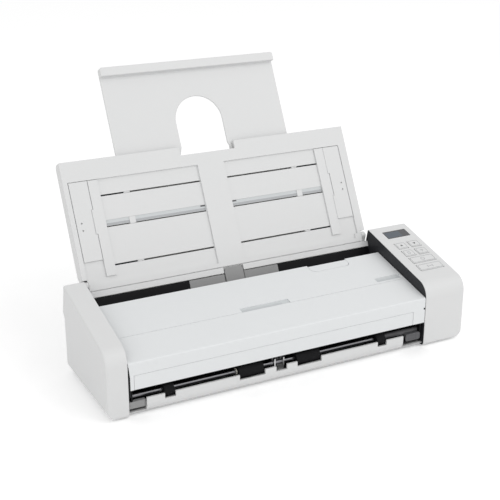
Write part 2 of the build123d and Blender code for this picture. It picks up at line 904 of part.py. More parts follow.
# Lower paper guide
def lower_guide_profile():
    """Section of the lower guide: front wall, flat run, bend and straight run up to the sill."""
    front_t = path_at(guide_front_y)
    near = bend_radius + lower_guide_gap
    far = near + guide_thickness
    with BuildSketch() as sketch:
        with BuildLine():
            a = path_point(front_t, -lower_guide_gap)
            b = path_point(bend_start_t, -lower_guide_gap)
            inner_arc = CenterArc(bend_centre, near, bend_low_angle, bend_high_angle - bend_low_angle)
            c = tray_point(guide_top_s, lower_guide_gap)
            d = tray_point(guide_top_s, lower_guide_gap + guide_thickness)
            outer_arc = CenterArc(bend_centre, far, bend_low_angle, bend_high_angle - bend_low_angle)
            e = path_point(front_t + guide_thickness, -lower_guide_gap - guide_thickness)
            f = (e[0], floor_z)
            g = (a[0], floor_z)
            Line(a, b)
            Line(inner_arc @ 1, c)
            Line(c, d)
            Line(d, outer_arc @ 1)
            Line(outer_arc @ 0, e)
            Line(e, f)
            Line(f, g)
            Line(g, a)
        make_face()
    return sketch.sketch


def roller_window(x, y, z, radius, width, margin):
    """Space round a roller, cut from a guide."""
    return rod(x - width / 2 - margin, x + width / 2 + margin, y, z, radius + margin)


def lower_guide():
    """Black lower guide, cut for the sensor, the feed tyres and the centre insert."""
    guide = across(lower_guide_profile(), bay_left, bay_right)
    guide -= sensor_box(lower_sensor_y, -lower_guide_gap - guide_thickness - wall, wall, seat_gap)
    for side in (-1, 1):
        x = paper_centre_x + side * feed_tyre_offset
        guide -= roller_window(x, feed_y, feed_z, feed_roller_radius, feed_tyre_width, roller_margin)
    half = insert_half + seat_gap
    low_s = insert_low_s - seat_gap
    guide -= TRAY * slab(paper_centre_x - half, paper_centre_x + half, low_s, 0.0, -wall, 2 * wall)
    return guide


def sensor_box(y, low, high, margin):
    """Box round a sensor, in heights off the paper path."""
    t = path_at(y)
    half = sensor_length / 2 + margin
    deep = sensor_depth / 2 + margin
    return PATH * box(paper_centre_x - half, paper_centre_x + half, t - deep, t + deep, low, high)


def lower_sensor():
    """Lower image sensor under its glass."""
    top = -lower_guide_gap - sensor_glass
    return sensor_box(lower_sensor_y, top - sensor_height, top, 0)


def lower_glass():
    """Glass of the lower sensor."""
    return sensor_box(lower_sensor_y, -lower_guide_gap - sensor_glass, -lower_guide_gap, 0)


# Feed mouth: sill, grey insert and paper sensor tab
def by_axis(shift):
    """Point in Y and Z at a shift from the tray's hinge axis."""
    return (tray_axis_y + shift[0], tray_axis_z + shift[1])


def sill_profile():
    """Section of the white sill below the tray, hollowed for the tray's swing."""
    back = by_axis((sill_back_edge, sill_swing_back[1]))
    foot_z = rear_top_z + running_gap
    return Polygon(
        tray_point(sill_low_s, 0),
        tray_point(sill_top_s, 0),
        by_axis(sill_swing_front),
        by_axis(sill_swing_back),
        back,
        (back[0], back[1] - sill_back_height),
        (rear_top_y + sill_foot_back, foot_z),
        (rear_top_y - sill_foot_front, foot_z),
        align=None,
    )


def feed_sill():
    """Sill across the bay, with the two lugs that carry the tray pins and the tab's slot."""
    sill = across(sill_profile(), bay_left, bay_right)
    lug = Pos(tray_axis_y, tray_axis_z) * Circle(tray_lug_radius)
    web_corners = [by_axis(shift) for shift in (web_front_foot, web_back_foot, web_back_top, web_front_top)]
    web = Polygon(*web_corners, align=None)
    stop_reach = lug_room_reach - seat_gap
    stop_top = tray_axis_s + tray_lug_radius
    for low, high in lug_spans():
        sill += across(lug + web, low, high)
        stop = TRAY * slab(low, high, tray_axis_s, stop_top, tray_axis_depth, tray_axis_depth + stop_reach)
        sill += stop & rod(low, high, tray_axis_y, tray_axis_z, stop_reach)
        sill -= rod(low - cut_margin, high + cut_margin, tray_axis_y, tray_axis_z, tray_pin_radius + running_gap)
    half = tab_half + tab_side_gap
    left = paper_centre_x - half
    right = paper_centre_x + half
    sill -= TRAY * slab(left, right, sill_low_s - cut_margin, 0.0, -cut_margin, tab_notch_depth)
    return sill


def lug_spans():
    """The two stretches in X that the tray's lugs take."""
    left = tray_left
    right = tray_right
    return [(left, left + tray_lug_width), (right - tray_lug_width, right)]


def feed_insert():
    """Grey plate in the middle of the feed mouth, with the tab's window and hinge ears."""
    left = paper_centre_x - insert_half
    right = paper_centre_x + insert_half
    back = lower_guide_gap + guide_thickness
    plate = slab(left, right, insert_low_s, insert_top_s, lower_guide_gap, back)
    half = tab_half + tab_side_gap
    low_s = tab_low_s - ear_half_height
    high_s = tab_low_s + ear_half_height
    plate -= slab(paper_centre_x - half, paper_centre_x + half, low_s, 0.0, -cut_margin, 2 * cut_margin)
    for side in (-1, 1):
        x = paper_centre_x + side * (half + ear_width / 2)
        reach = ear_width / 2
        plate += slab(x - reach, x + reach, low_s, high_s, lower_guide_gap, ear_depth)
    pin = Pos(paper_centre_x, tab_low_s, -tab_pin_depth) * Rot(0, 90, 0)
    return TRAY * (plate - pin * Cylinder(tab_pin_radius + running_gap, 4 * insert_half))


def sensor_tab():
    """Grey tab that the paper pushes back, on a barrel whose end pins turn in the insert's ears."""
    x_low = paper_centre_x - tab_half
    x_high = paper_centre_x + tab_half
    blade = slab(x_low, x_high, tab_low_s, tab_top_s, 0.0, tab_thickness)
    corners = blade.edges().filter_by(Axis.Z).group_by(Axis.Y)[-1]
    blade = fillet(corners, tab_corner)
    blade += slab(x_low, x_high, tab_low_s - tab_web_half, tab_low_s + tab_web_half, 0.0, tab_pin_depth)
    turned = Pos(paper_centre_x, tab_low_s, -tab_pin_depth) * Rot(0, 90, 0)
    blade += turned * Cylinder(tab_barrel_radius, 2 * tab_half)
    blade += turned * Cylinder(tab_pin_radius, 2 * (tab_half + tab_side_gap + ear_width - seat_gap))
    return TRAY * blade


# Rollers
def exit_shaft():
    """Steel shaft of the exit rollers, out to its gear."""
    low = bay_left - side_plate_thickness - bush_flange
    return rod(low, gear_start_x + gear_width, exit_y, exit_z, exit_shaft_radius)


def tyre(x, width, y, z, radius, bore):
    """Rubber tyre on a shaft."""
    return rod(x - width / 2, x + width / 2, y, z, radius) - rod(x - width, x + width, y, z, bore)


def exit_rollers():
    """Four rubber rollers on the exit shaft."""
    return [
        tyre(exit_centre_x + shift, width, exit_y, exit_z, exit_roller_radius, exit_shaft_radius)
        for shift, width in exit_roller_places
    ]


def feed_shaft():
    """Steel shaft of the feed tyres, out to its gear, with the two tyre hubs on it."""
    low = bay_left - side_plate_thickness - bush_flange
    shaft = rod(low, gear_start_x + gear_width, feed_y, feed_z, feed_shaft_radius)
    for side in (-1, 1):
        x = paper_centre_x + side * feed_tyre_offset
        shaft += rod(x - feed_tyre_width / 2, x + feed_tyre_width / 2, feed_y, feed_z, feed_hub_radius)
    return shaft


def feed_tyres():
    """Rubber feed tyres."""
    tyres = []
    for side in (-1, 1):
        x = paper_centre_x + side * feed_tyre_offset
        tyres.append(tyre(x, feed_tyre_width, feed_y, feed_z, feed_roller_radius, feed_hub_radius))
    return tyres


def shaft_clip():
    """Bright spring clip that steadies the exit shaft at mid-width."""
    x_low = clip_x - clip_width / 2
    x_high = clip_x + clip_width / 2
    skin = clip_thickness
    front = exit_y - clip_half_depth
    back = exit_y + clip_half_depth
    top = exit_z + clip_height
    foot_front = front_y + lip_radius
    clip = box(x_low, x_high, foot_front, back + skin, floor_z, floor_z + 2 * skin)
    for low in (x_low, x_high - skin):
        clip += box(low, low + skin, front, back, floor_z + 3 * skin, top)
        clip += box(low, low + skin, foot_front, back, floor_z + skin, top)
    clip += box(x_low, x_high, back - skin, back, floor_z, top)
    left = x_low - cut_margin
    right = x_high + cut_margin
    clip -= rod(left, right, exit_y, exit_z, exit_shaft_radius + running_gap)
    clip -= box(left, right, exit_y - clip_mouth_half, exit_y + clip_mouth_half, exit_z, top + cut_margin)
    return clip


# Scan cover
def shell_profile(inset):
    """Section of the scan cover's shell; inset gives its hollow."""
    back = cover_back_y - inset
    front = front_y + inset
    top_back = cover_back_z - inset / cos(radians(cover_tilt)) - inset * cover_slope
    top_front = top_back - (back - front) * cover_slope
    t_front = path_at(front_y)
    t_back = path_at(cover_hollow_y)
    low_front = path_point(t_front, 0)[1]
    under = upper_guide_gap + guide_thickness + seat_gap
    drop = 3 * wall if inset > 0 else 0
    low = [
        (front, cover_lower_z - drop),
        (front_y + cover_wall, cover_lower_z - drop),
        (path_point(t_front, under + wall)[0] + lip_radius, max(low_front + 5.0, cover_lower_z) - drop),
        (path_point(t_back, under)[0], path_point(t_back, under)[1] - drop),
        (back, cover_back_z - cover_lip_height - drop),
    ]
    if inset == 0:
        low.insert(-1, (cover_back_y - cover_wall, cover_back_z - cover_lip_height))
    points = low + [(back, top_back), (front, top_front)]
    corners = []
    if inset == 0:
        corners = [(points[-1], cover_edge_radius), (points[-2], cover_edge_radius / 2)]
    return rounded(points, corners)


def cover_shell():
    """White cover: top, front, side walls and rear lip, open underneath."""
    shell = across(shell_profile(0), cover_left, cover_right)
    shell -= across(shell_profile(cover_wall), cover_left + cover_wall, cover_right - cover_wall)
    shell -= strip_opening(seam)
    crease_end = cover_right - crease_right_margin
    crease_start = cover_left + crease_left_margin
    low_y = crease_y - crease_width / 2
    shell -= groove(crease_start, crease_end, low_y, low_y + crease_width, crease_depth)
    left = paper_centre_x - finger_recess_half
    right = paper_centre_x + finger_recess_half
    shell -= groove(left, right, low_y, low_y + finger_recess_length, finger_recess_depth)
    low_y += end_recess_shift
    left = crease_end - end_recess_length
    shell -= groove(left, crease_end, low_y, low_y + finger_recess_length, finger_recess_depth)
    shell -= tab_cut(release_half + key_gap, release_length + key_gap, 3 * cover_wall)
    return shell


def groove(x_low, x_high, y_low, y_high, depth):
    """Cut along X into the cover's top, level with it."""
    outline = Polygon(
        (y_low, cover_z(y_low) - depth),
        (y_high, cover_z(y_high) - depth),
        (y_high, cover_z(y_high) + wall),
        (y_low, cover_z(y_low) + wall),
        align=None,
    )
    return across(outline, x_low, x_high)


def strip_opening(margin):
    """Opening of the front strip in the cover."""
    low_x = cover_left + strip_left_inset - margin
    high_x = cover_right - strip_right_inset + margin
    return box(low_x, high_x, front_y - wall, front_y + cover_wall + running_gap, 0, strip_top_z + margin)


def front_strip():
    """White strip over the exit slot, clipped behind the cover's front."""
    low_x = cover_left + strip_left_inset
    high_x = cover_right - strip_right_inset
    strip = box(low_x, high_x, front_y, front_y + cover_wall, cover_lower_z, strip_top_z)
    y_clip = front_y + cover_wall
    clip_back = y_clip + strip_clip_thickness
    clip_top = strip_top_z + strip_clip_high
    ledge = box(low_x, high_x, y_clip, clip_back, strip_top_z - strip_clip_low, clip_top)
    ledge -= box(low_x, high_x, y_clip - 1.0, y_clip + running_gap, strip_top_z, clip_top + cut_margin)
    return strip + ledge


def tab_cut(half, length, depth):
    """Rounded tongue at the cover's rear edge, used for the release tab and its opening."""
    y_low = cover_back_y - length
    points = [
        (release_x - half, cover_back_y + wall),
        (release_x - half, y_low),
        (release_x + half, y_low),
        (release_x + half, cover_back_y + wall),
    ]
    outline = rounded(points, [(points[1], release_corner), (points[2], release_corner)])
    tongue = upright(outline, cover_back_z - 4 * wall, cover_back_z + 2 * wall)
    plane_cut = across(
        Polygon(
            (y_low - wall, cover_z(y_low - wall) - depth),
            (cover_back_y + wall, cover_z(cover_back_y + wall) - depth),
            (cover_back_y + wall, cover_z(cover_back_y + wall) + wall),
            (y_low - wall, cover_z(y_low - wall) + wall),
            align=None,
        ),
        release_x - half,
        release_x + half,
    )
    return tongue & plane_cut


def cover_release_tab():
    """Tab at the rear edge of the cover that frees its latch when pressed."""
    tab = tab_cut(release_half, release_length, cover_wall)
    y_low = cover_back_y - release_length
    half = release_half + cut_margin
    back = cover_back_y - release_setback
    top = box(release_x - half, release_x + half, y_low - cut_margin, back, 0, cover_back_z + wall)
    tab = tab & (top - cover_top_space())
    hook_back = cover_back_y - hook_inset
    hook_front = hook_back - hook_thickness
    hook_top = cover_z(hook_front) - cover_wall / 2
    hook = box(release_x - hook_half, release_x + hook_half, hook_front, hook_back, hook_top - hook_length, hook_top)
    return tab + hook


def cover_top_space():
    """Everything above the cover's top face."""
    low_y = front_y - wall
    high_y = cover_back_y + 2 * wall
    points = [
        (low_y, cover_z(low_y)),
        (high_y, cover_z(high_y)),
        (high_y, cover_z(high_y) + cover_back_z),
        (low_y, cover_z(low_y) + cover_back_z),
    ]
    return across(Polygon(*points, align=None), cover_left - wall, cover_right + wall)


def upper_guide_profile():
    """Section of the upper guide: flat run, bend and the slanted face of the feed mouth."""
    near = bend_radius - upper_guide_gap
    far = near - guide_thickness
    front_t = path_at(upper_guide_front_y)
    high_angle = bend_high_angle - mouth_turn
    with BuildSketch() as sketch:
        with BuildLine():
            lower_arc = CenterArc(bend_centre, near, bend_low_angle, high_angle - bend_low_angle)
            upper_arc = CenterArc(bend_centre, far, bend_low_angle, high_angle - bend_low_angle)
            a = path_point(front_t, upper_guide_gap)
            b = path_point(front_t, upper_guide_gap + guide_thickness)
            c = (cover_back_y, cover_back_z - cover_lip_height - seat_gap)
            d = (cover_back_y - guide_thickness, cover_back_z - cover_lip_height - seat_gap)
            Line(a, lower_arc @ 0)
            Line(lower_arc @ 1, c)
            Line(c, d)
            Line(d, upper_arc @ 1)
            Line(upper_arc @ 0, b)
            Line(b, a)
        make_face()
    return sketch.sketch


def cover_frame():
    """Black upper guide under the cover, with its hinge arms and the pinch rollers' ears."""
    guide = across(upper_guide_profile(), cover_left + cover_wall, cover_right - cover_wall)
    guide -= sensor_box(upper_sensor_y, -wall, upper_guide_gap + guide_thickness + wall, seat_gap)
    width = separation_width + 2 * separation_ear_reach
    guide -= roller_window(paper_centre_x, separation_y, separation_z, separation_radius, width, roller_margin)
    for side in (-1, 1):
        x = exit_centre_x + side * exit_big_offset
        guide -= roller_window(x, pinch_y, pinch_z, pinch_radius, exit_big_width, roller_margin)
    for x_ear in pinch_ear_places:
        guide += ear_box(x_ear, pinch_y, pinch_z)
    guide -= rod(cover_left, cover_right, pinch_y, pinch_z, pinch_shaft_radius + running_gap)
    guide += cover_arm(-1)
    guide += cover_arm(1)
    guide -= rod(bay_left, bay_right, cover_axis_y, cover_axis_z, cover_pin_radius + running_gap)
    return guide


pinch_ear_offset = exit_big_width / 2 + pinch_ear_gap + pinch_ear_thickness / 2
pinch_ear_places = [
    exit_centre_x + side * exit_big_offset + edge * pinch_ear_offset
    for side in (-1, 1)
    for edge in (-1, 1)
]


def ear_box(x, y, z):
    """Ear of the upper guide that holds the pinch roller shafts."""
    half = pinch_ear_thickness / 2
    return box(x - half, x + half, y - pinch_ear_front, y + pinch_ear_back, z - pinch_ear_low, z + pinch_ear_high)


def pinch_rollers():
    """Two free rollers above the big exit rollers, moulded on one thin shaft."""
    reach = exit_big_offset + pinch_ear_offset + pinch_ear_thickness / 2
    rollers = rod(exit_centre_x - reach, exit_centre_x + reach, pinch_y, pinch_z, pinch_shaft_radius)
    half = exit_big_width / 2 - pinch_side_gap
    for side in (-1, 1):
        x = exit_centre_x + side * exit_big_offset
        rollers += rod(x - half, x + half, pinch_y, pinch_z, pinch_radius)
    return rollers


def separation_roller():
    """Rubber separation roller above the feed tyres, with the ends of its shaft."""
    half = separation_width / 2
    reach = half + separation_ear_reach
    roller = rod(paper_centre_x - half, paper_centre_x + half, separation_y, separation_z, separation_radius)
    roller += rod(paper_centre_x - reach, paper_centre_x + reach, separation_y, separation_z, separation_shaft_radius)
    return roller


def separation_holder():
    """Bracket that hangs the separation shaft under the cover."""
    ear_low = separation_width / 2 + separation_ear_gap
    ear_high = separation_width / 2 + separation_ear_reach
    front = separation_y - holder_front
    back = separation_y - holder_back
    thick = holder_gap + holder_plate
    top_points = [
        (front, cover_underside(front) - thick),
        (back, cover_underside(back) - thick),
        (back, cover_underside(back) - holder_gap),
        (front, cover_underside(front) - holder_gap),
    ]
    holder = across(Polygon(*top_points, align=None), paper_centre_x - ear_high, paper_centre_x + ear_high)
    foot = holder_foot
    heel = separation_shaft_radius + 0.5
    ear_points = [
        (separation_y - foot, separation_z - foot),
        (separation_y + heel, separation_z - heel),
        (separation_y + heel, separation_z + foot),
        (back, cover_underside(back) - 2 * holder_plate / 3),
        (front, cover_underside(front) - 2 * holder_plate / 3),
    ]
    for side in (-1, 1):
        low = min(side * ear_low, side * ear_high) + paper_centre_x
        high = max(side * ear_low, side * ear_high) + paper_centre_x
        holder += across(Polygon(*ear_points, align=None), low, high)
    bore = separation_shaft_radius + running_gap
    holder -= rod(paper_centre_x - 2 * ear_high, paper_centre_x + 2 * ear_high, separation_y, separation_z, bore)
    return holder


def cover_underside(y):
    """Height of the underside of the cover's top."""
    return cover_z(y) - cover_wall / cos(radians(cover_tilt))


def upper_sensor():
    """Upper image sensor over its glass."""
    low = upper_guide_gap + sensor_glass
    return sensor_box(upper_sensor_y, low, low + sensor_height, 0)


def upper_glass():
    """Glass of the upper sensor."""
    return sensor_box(upper_sensor_y, upper_guide_gap, upper_guide_gap + sensor_glass, 0)


def cover_arm(side):
    """Hinge arm: barrel on the low pin and a blade up in front of the exit shaft."""
    wall_x = cover_left + cover_wall if side < 0 else cover_right - cover_wall
    inner_x = wall_x - side * cover_arm_thickness
    barrel_x = wall_x - side * (cover_knuckle_width if side < 0 else cover_knuckle_width + right_knuckle_extra)
    barrel = rod(min(wall_x, barrel_x), max(wall_x, barrel_x), cover_axis_y, cover_axis_z, cover_knuckle_radius)
    shaft_front = exit_y - exit_shaft_radius - cover_arm_gap
    front_inside = front_y + cover_wall
    top_z = cover_lower_z + cover_arm_high
    blade_points = [
        (cover_axis_y - cover_knuckle_radius + 0.1, cover_axis_z),
        (cover_axis_y - cover_arm_gap, cover_axis_z + exit_shaft_radius),
        (shaft_front, exit_z - 1.0),
        (shaft_front, exit_z + exit_roller_radius),
        (exit_y + exit_shaft_radius, cover_lower_z + cover_arm_low),
        (exit_y + exit_shaft_radius, top_z),
        (front_inside + strip_clip_thickness + seat_gap, top_z),
        (front_inside + seat_gap, cover_lower_z + 1.0),
        (cover_axis_y - cover_knuckle_radius - cover_arm_gap, exit_z - exit_shaft_radius),
    ]
    blade = across(Polygon(*blade_points, align=None), min(wall_x, inner_x), max(wall_x, inner_x))
    return barrel + blade


def cover_pins():
    """Hinge pins of the cover, fixed in the side plates."""
    pins = []
    for side in (-1, 1):
        x_bay = bay_left if side < 0 else bay_right
        x_out = x_bay + side * side_plate_thickness
        x_in = x_bay - side * (bay_clearance + cover_wall + cover_knuckle_width - 1.0)
        pins.append(rod(min(x_in, x_out), max(x_in, x_out), cover_axis_y, cover_axis_z, cover_pin_radius))
    return pins


# Tray
tray_axis_s, tray_axis_depth = tray_local(tray_axis_y, tray_axis_z)


def boss_spans():
    """The two stretches in X of the tray's hinge bosses, just inside the lugs."""
    left = tray_left + tray_lug_width + boss_side_gap
    right = tray_right - tray_lug_width - boss_side_gap
    return [(left, left + tray_boss_width), (right - tray_boss_width, right)]


def tray_rod(x_low, x_high, radius):
    """Round bar along the tray's hinge axis, in tray directions."""
    return rod(x_low, x_high, tray_axis_s, -tray_axis_depth, radius)


def lug_rooms(gap):
    """Room for the two fixed lugs, cut from the tray's corners."""
    high_s = tray_axis_s + lug_room_reach
    back = tray_axis_depth + lug_room_reach
    rooms = []
    for low, high in lug_spans():
        x_low = low - 2 * wall if low < 0 else low - gap
        x_high = high + gap if low < 0 else high + 2 * wall
        rooms.append(slab(x_low, x_high, tray_bottom_s - wall, high_s, -wall, back))
    return rooms


def tray_front_plate():
    """Front plate of the tray: recess, island, slots, groove, pinion post and hinge bosses."""
    plate = slab(tray_left, tray_right, tray_bottom_s, tray_top_s, 0, front_plate)
    for side in (-1, 1):
        inner = paper_centre_x + side * island_half
        outer = paper_centre_x + side * recess_half
        plate -= slab(min(inner, outer), max(inner, outer), 0, recess_top_s, -wall, recess_depth)
        near = paper_centre_x + side * slot_inner
        far = paper_centre_x + side * slot_outer
        low_x = min(near, far)
        high_x = max(near, far)
        for s in (upper_slot_s, lower_slot_s):
            plate -= slab(low_x, high_x, s - thin_slot / 2, s + thin_slot / 2, -wall, 2 * front_plate)
        plate -= slab(low_x, high_x, groove_low_s, groove_high_s, -wall, groove_floor)
        plate -= slab(low_x, high_x, groove_low_s, groove_low_s + groove_slit, -wall, 2 * front_plate)
    plate -= slab(top_notch_left, top_notch_right, top_notch_s, tray_top_s + wall, -wall, 2 * front_plate)
    plate -= lug_rooms(boss_side_gap / 2)
    for low, high in boss_spans():
        plate += slab(low, high, 0, tray_axis_s + tray_boss_radius, 0, front_plate)
        plate += tray_rod(low, high, tray_boss_radius)
    for low, high in pin_spans():
        plate -= tray_rod(low, high, tray_pin_radius)
    post = Pos(paper_centre_x, groove_mid_s, -(front_plate + pinion_back) / 2)
    plate += post * Cylinder(pinion_post_radius, pinion_back - front_plate)
    return TRAY * plate


def pin_spans():
    """The two stretches in X of the tray's hinge pins, from inside the lug to inside the boss."""
    spans = []
    for (lug_low, lug_high), (boss_low, boss_high) in zip(lug_spans(), boss_spans()):
        if lug_low < 0:
            spans.append((lug_low + seat_gap, boss_high - tray_pin_grip))
        else:
            spans.append((boss_low + tray_pin_grip, lug_high - seat_gap))
    return spans


def tray_outer_profile():
    """Section of the rear shell: slanted heel, slightly tapering back and rounded top end."""
    points = [
        (tray_bottom_s, -front_plate - running_gap),
        (tray_heel_s, -tray_thickness),
        (tray_top_s, -tray_tip_thickness),
        (tray_top_s, -front_plate - running_gap),
    ]
    return rounded(points, [(points[1], tray_heel_radius), (points[2], tray_tip_radius)])


def tray_inner_profile():
    """Hollow of the rear shell."""
    back_low = tray_thickness - wall
    back_high = tray_tip_thickness - wall
    points = [
        (tray_floor_s, wall - front_plate),
        (tray_floor_s, -front_plate - wall / 2),
        (tray_heel_s + wall / 3, -back_low),
        (tray_top_s - wall, -back_high),
        (tray_top_s - wall, wall - front_plate),
    ]
    return rounded(points, [(points[3], tray_tip_radius / 2)])


def tray_rear_shell():
    """Rear shell of the tray with the extension's mouth and its two rails."""
    shell = across(tray_outer_profile(), tray_left, tray_right)
    shell -= across(tray_inner_profile(), tray_left + wall, tray_right - wall)
    left = paper_centre_x - extension_half - extension_side_gap
    right = paper_centre_x + extension_half + extension_side_gap
    shell -= slab(left, right, recess_top_s, tray_top_s + cut_margin, 0, extension_back + extension_back_gap)
    shell -= slab(top_notch_left, top_notch_right, top_notch_s, tray_top_s + wall, 0, tray_thickness + wall)
    inner_back = extension_back + extension_back_gap
    low_x = top_notch_left - wall
    room = slab(low_x, top_notch_right + wall, top_notch_s - wall, tray_top_s, inner_back, tray_thickness)
    room -= slab(top_notch_left, top_notch_right, top_notch_s, tray_top_s + wall, 0, tray_thickness + wall)
    shell += room & across(tray_outer_profile(), tray_left, tray_right)
    for side in (-1, 1):
        a = paper_centre_x + side * rail_inner
        b = paper_centre_x + side * rail_outer
        front = extension_back + rail_gap
        rail = slab(min(a, b), max(a, b), tray_heel_s, tray_top_s - 2 * wall, front, tray_thickness)
        shell += rail & across(tray_outer_profile(), tray_left, tray_right)
    shell -= lug_rooms(boss_side_gap)
    for low, high in boss_spans():
        shell -= tray_rod(low - boss_side_gap, high + boss_side_gap, tray_boss_radius + boss_side_gap)
    return TRAY * shell


def tray_pins():
    """Hinge pins of the tray: fixed in its bosses, turning in the sill's lugs."""
    return [TRAY * tray_rod(low, high, tray_pin_radius) for low, high in pin_spans()]


def extension_plate():
    """Sliding extension with its arch and its top lip."""
    left = paper_centre_x - extension_half
    right = paper_centre_x + extension_half
    c = extension_corner
    cut = extension_chamfer
    points = [
        (left + cut, extension_low_s),
        (left, extension_low_s + cut),
        (left, extension_top_s - c),
        (left + c, extension_top_s),
        (right - c, extension_top_s),
        (right, extension_top_s - c),
        (right, extension_low_s + cut),
        (right - cut, extension_low_s),
    ]
    face = Polygon(*points, align=None)
    face = fillet(face.vertices().group_by(Axis.Y)[-1], c)
    arch = Pos(paper_centre_x, arch_centre_s) * Circle(arch_half)
    channel = Pos(paper_centre_x, (arch_centre_s + extension_low_s - cut) / 2)
    channel = channel * Rectangle(2 * arch_half, arch_centre_s - extension_low_s + cut)
    legs = Polygon(
        (paper_centre_x - arch_half, leg_chamfer_top_s),
        (paper_centre_x - arch_half - leg_chamfer_width, top_notch_s),
        (paper_centre_x - arch_half - leg_chamfer_width, extension_low_s - cut),
        (paper_centre_x + arch_half + leg_chamfer_width, extension_low_s - cut),
        (paper_centre_x + arch_half + leg_chamfer_width, top_notch_s),
        (paper_centre_x + arch_half, leg_chamfer_top_s),
        align=None,
    )
    sheet = upright(face - arch - channel - legs, -extension_back, -extension_front)
    lip_face = face & (Pos(paper_centre_x, (lip_low_s + extension_top_s) / 2)
                       * Rectangle(2 * extension_half, extension_top_s - lip_low_s))
    lip = upright(lip_face, -extension_back, -extension_lip_front)
    return TRAY * (sheet + lip)


# Side guides
def guide_base(side):
    """Foot plate of one side guide, in the recess, with its hinge barrel and its feet in the slots."""
    inner = paper_centre_x + side * guide_inner
    outer = paper_centre_x + side * paper_half
    axis_x = paper_centre_x + side * guide_hinge
    foot_low_s = lower_slot_s - guide_foot_reach
    plate = slab(min(inner, outer), max(inner, outer), foot_low_s, guide_high_s, guide_front, guide_back)
    low_s = flap_knuckle_low_s + slot_side_gap
    high_s = flap_knuckle_high_s - slot_side_gap
    plate += slab(min(outer, axis_x), max(outer, axis_x), low_s, high_s, guide_front, guide_back)
    mid = (guide_front + guide_back) / 2
    barrel = Pos(axis_x, (low_s + high_s) / 2, -mid) * Rot(90, 0, 0)
    plate += barrel * Cylinder((guide_back - guide_front) / 2, high_s - low_s)
    plate -= barrel * Cylinder(guide_pin_radius + running_gap, high_s - low_s + wall)
    a = paper_centre_x + side * post_inner
    b = paper_centre_x + side * post_outer
    c = paper_centre_x + side * skid_inner
    d = paper_centre_x + side * skid_outer
    neck = thin_slot / 2 - slot_side_gap
    for s in (upper_slot_s, lower_slot_s):
        plate += slab(min(a, b), max(a, b), s - neck, s + neck, guide_back - slot_side_gap, rack_back)
        plate += slab(min(b, c), max(b, c), s - 2 * thin_slot, s + 2 * thin_slot, rack_front, rack_back)
        plate += slab(min(c, d), max(c, d), s - neck, s + neck, recess_depth - skid_rise, rack_back)
    return plate + rack(side)


def guide_flap(side):
    """Wall of one side guide, folded flat outward in its recess."""
    axis_x = paper_centre_x + side * guide_hinge
    mid = (guide_front + guide_back) / 2
    inner = axis_x + side * flap_edge
    outer = axis_x + side * flap_reach
    plate = slab(min(inner, outer), max(inner, outer), guide_low_s, guide_high_s, guide_front, guide_back)
    for low_s, high_s in ((guide_low_s, flap_knuckle_low_s), (flap_knuckle_high_s, guide_high_s)):
        turned = Pos(axis_x, (low_s + high_s) / 2, -mid) * Rot(90, 0, 0)
        plate += slab(min(axis_x, inner), max(axis_x, inner), low_s, high_s, guide_front, guide_back)
        plate += turned * Cylinder((guide_back - guide_front) / 2, high_s - low_s)
    pin = Pos(axis_x, (guide_low_s + guide_high_s) / 2, -mid) * Rot(90, 0, 0)
    plate += pin * Cylinder(guide_pin_radius, guide_high_s - guide_low_s)
    dot_x = axis_x + side * flap_dot_reach
    for s in (groove_low_s, groove_high_s):
        plate -= Pos(dot_x, s, -mid) * Cylinder(flap_dot_radius, 2 * wall)
    return TRAY * plate


# Teeth
def involute(angle):
    """Involute function."""
    return tan(angle) - angle


def half_tooth(radius, teeth):
    """Half the angle of a tooth at a radius."""
    pitch_radius = gear_module * teeth / 2
    base_radius = pitch_radius * cos(pressure)
    at_pitch = pi / (2 * teeth) - tooth_thinning / (2 * pitch_radius)
    here = acos(min(1.0, base_radius / radius))
    return at_pitch + involute(pressure) - involute(here)


def gear_face(teeth, phase):
    """Outline of a spur gear, with a tooth centred at phase degrees."""
    pitch_radius = gear_module * teeth / 2
    radii = [
        pitch_radius - tooth_root * gear_module,
        pitch_radius,
        pitch_radius + tooth_tip * gear_module,
    ]
    points = []
    for index in range(teeth):
        middle = radians(phase) + 2 * pi * index / teeth
        rising = [(r, -half_tooth(r, teeth)) for r in radii]
        falling = [(r, half_tooth(r, teeth)) for r in reversed(radii)]
        for radius, turn in rising + falling:
            points.append((radius * cos(middle + turn), radius * sin(middle + turn)))
    return Polygon(*points, align=None)


def next_gear(phase, teeth, place, next_teeth, next_place):
    """Phase that meshes the next gear with this one."""
    line = degrees(atan2(next_place[1] - place[1], next_place[0] - place[0]))
    pitch = 360.0 / teeth
    share = ((phase - line) % pitch) / pitch
    return line + 180.0 + (360.0 / next_teeth) * (0.5 - share)


def pitch_reach(first, second):
    """Centre distance of two gears."""
    return gear_module * (first + second) / 2


def train_places():
    """Centres of the five gears: the chain from exit to feed bends at the motor pinion."""
    start = (exit_y, exit_z)
    end = (feed_y, feed_z)
    first_leg = pitch_reach(exit_gear_teeth, front_idler_teeth) + pitch_reach(front_idler_teeth, motor_pinion_teeth)
    last_leg = pitch_reach(motor_pinion_teeth, back_idler_teeth) + pitch_reach(back_idler_teeth, feed_gear_teeth)
    span = hypot(end[0] - start[0], end[1] - start[1])
    along = (first_leg ** 2 - last_leg ** 2 + span ** 2) / (2 * span)
    aside = max(first_leg ** 2 - along ** 2, 0.0) ** 0.5
    unit = ((end[0] - start[0]) / span, (end[1] - start[1]) / span)
    motor = (start[0] + along * unit[0] - aside * unit[1], start[1] + along * unit[1] + aside * unit[0])
    near = pitch_reach(exit_gear_teeth, front_idler_teeth) / first_leg
    far = pitch_reach(motor_pinion_teeth, back_idler_teeth) / last_leg
    front = (start[0] + near * (motor[0] - start[0]), start[1] + near * (motor[1] - start[1]))
    back = (motor[0] + far * (end[0] - motor[0]), motor[1] + far * (end[1] - motor[1]))
    return [start, front, motor, back, end]


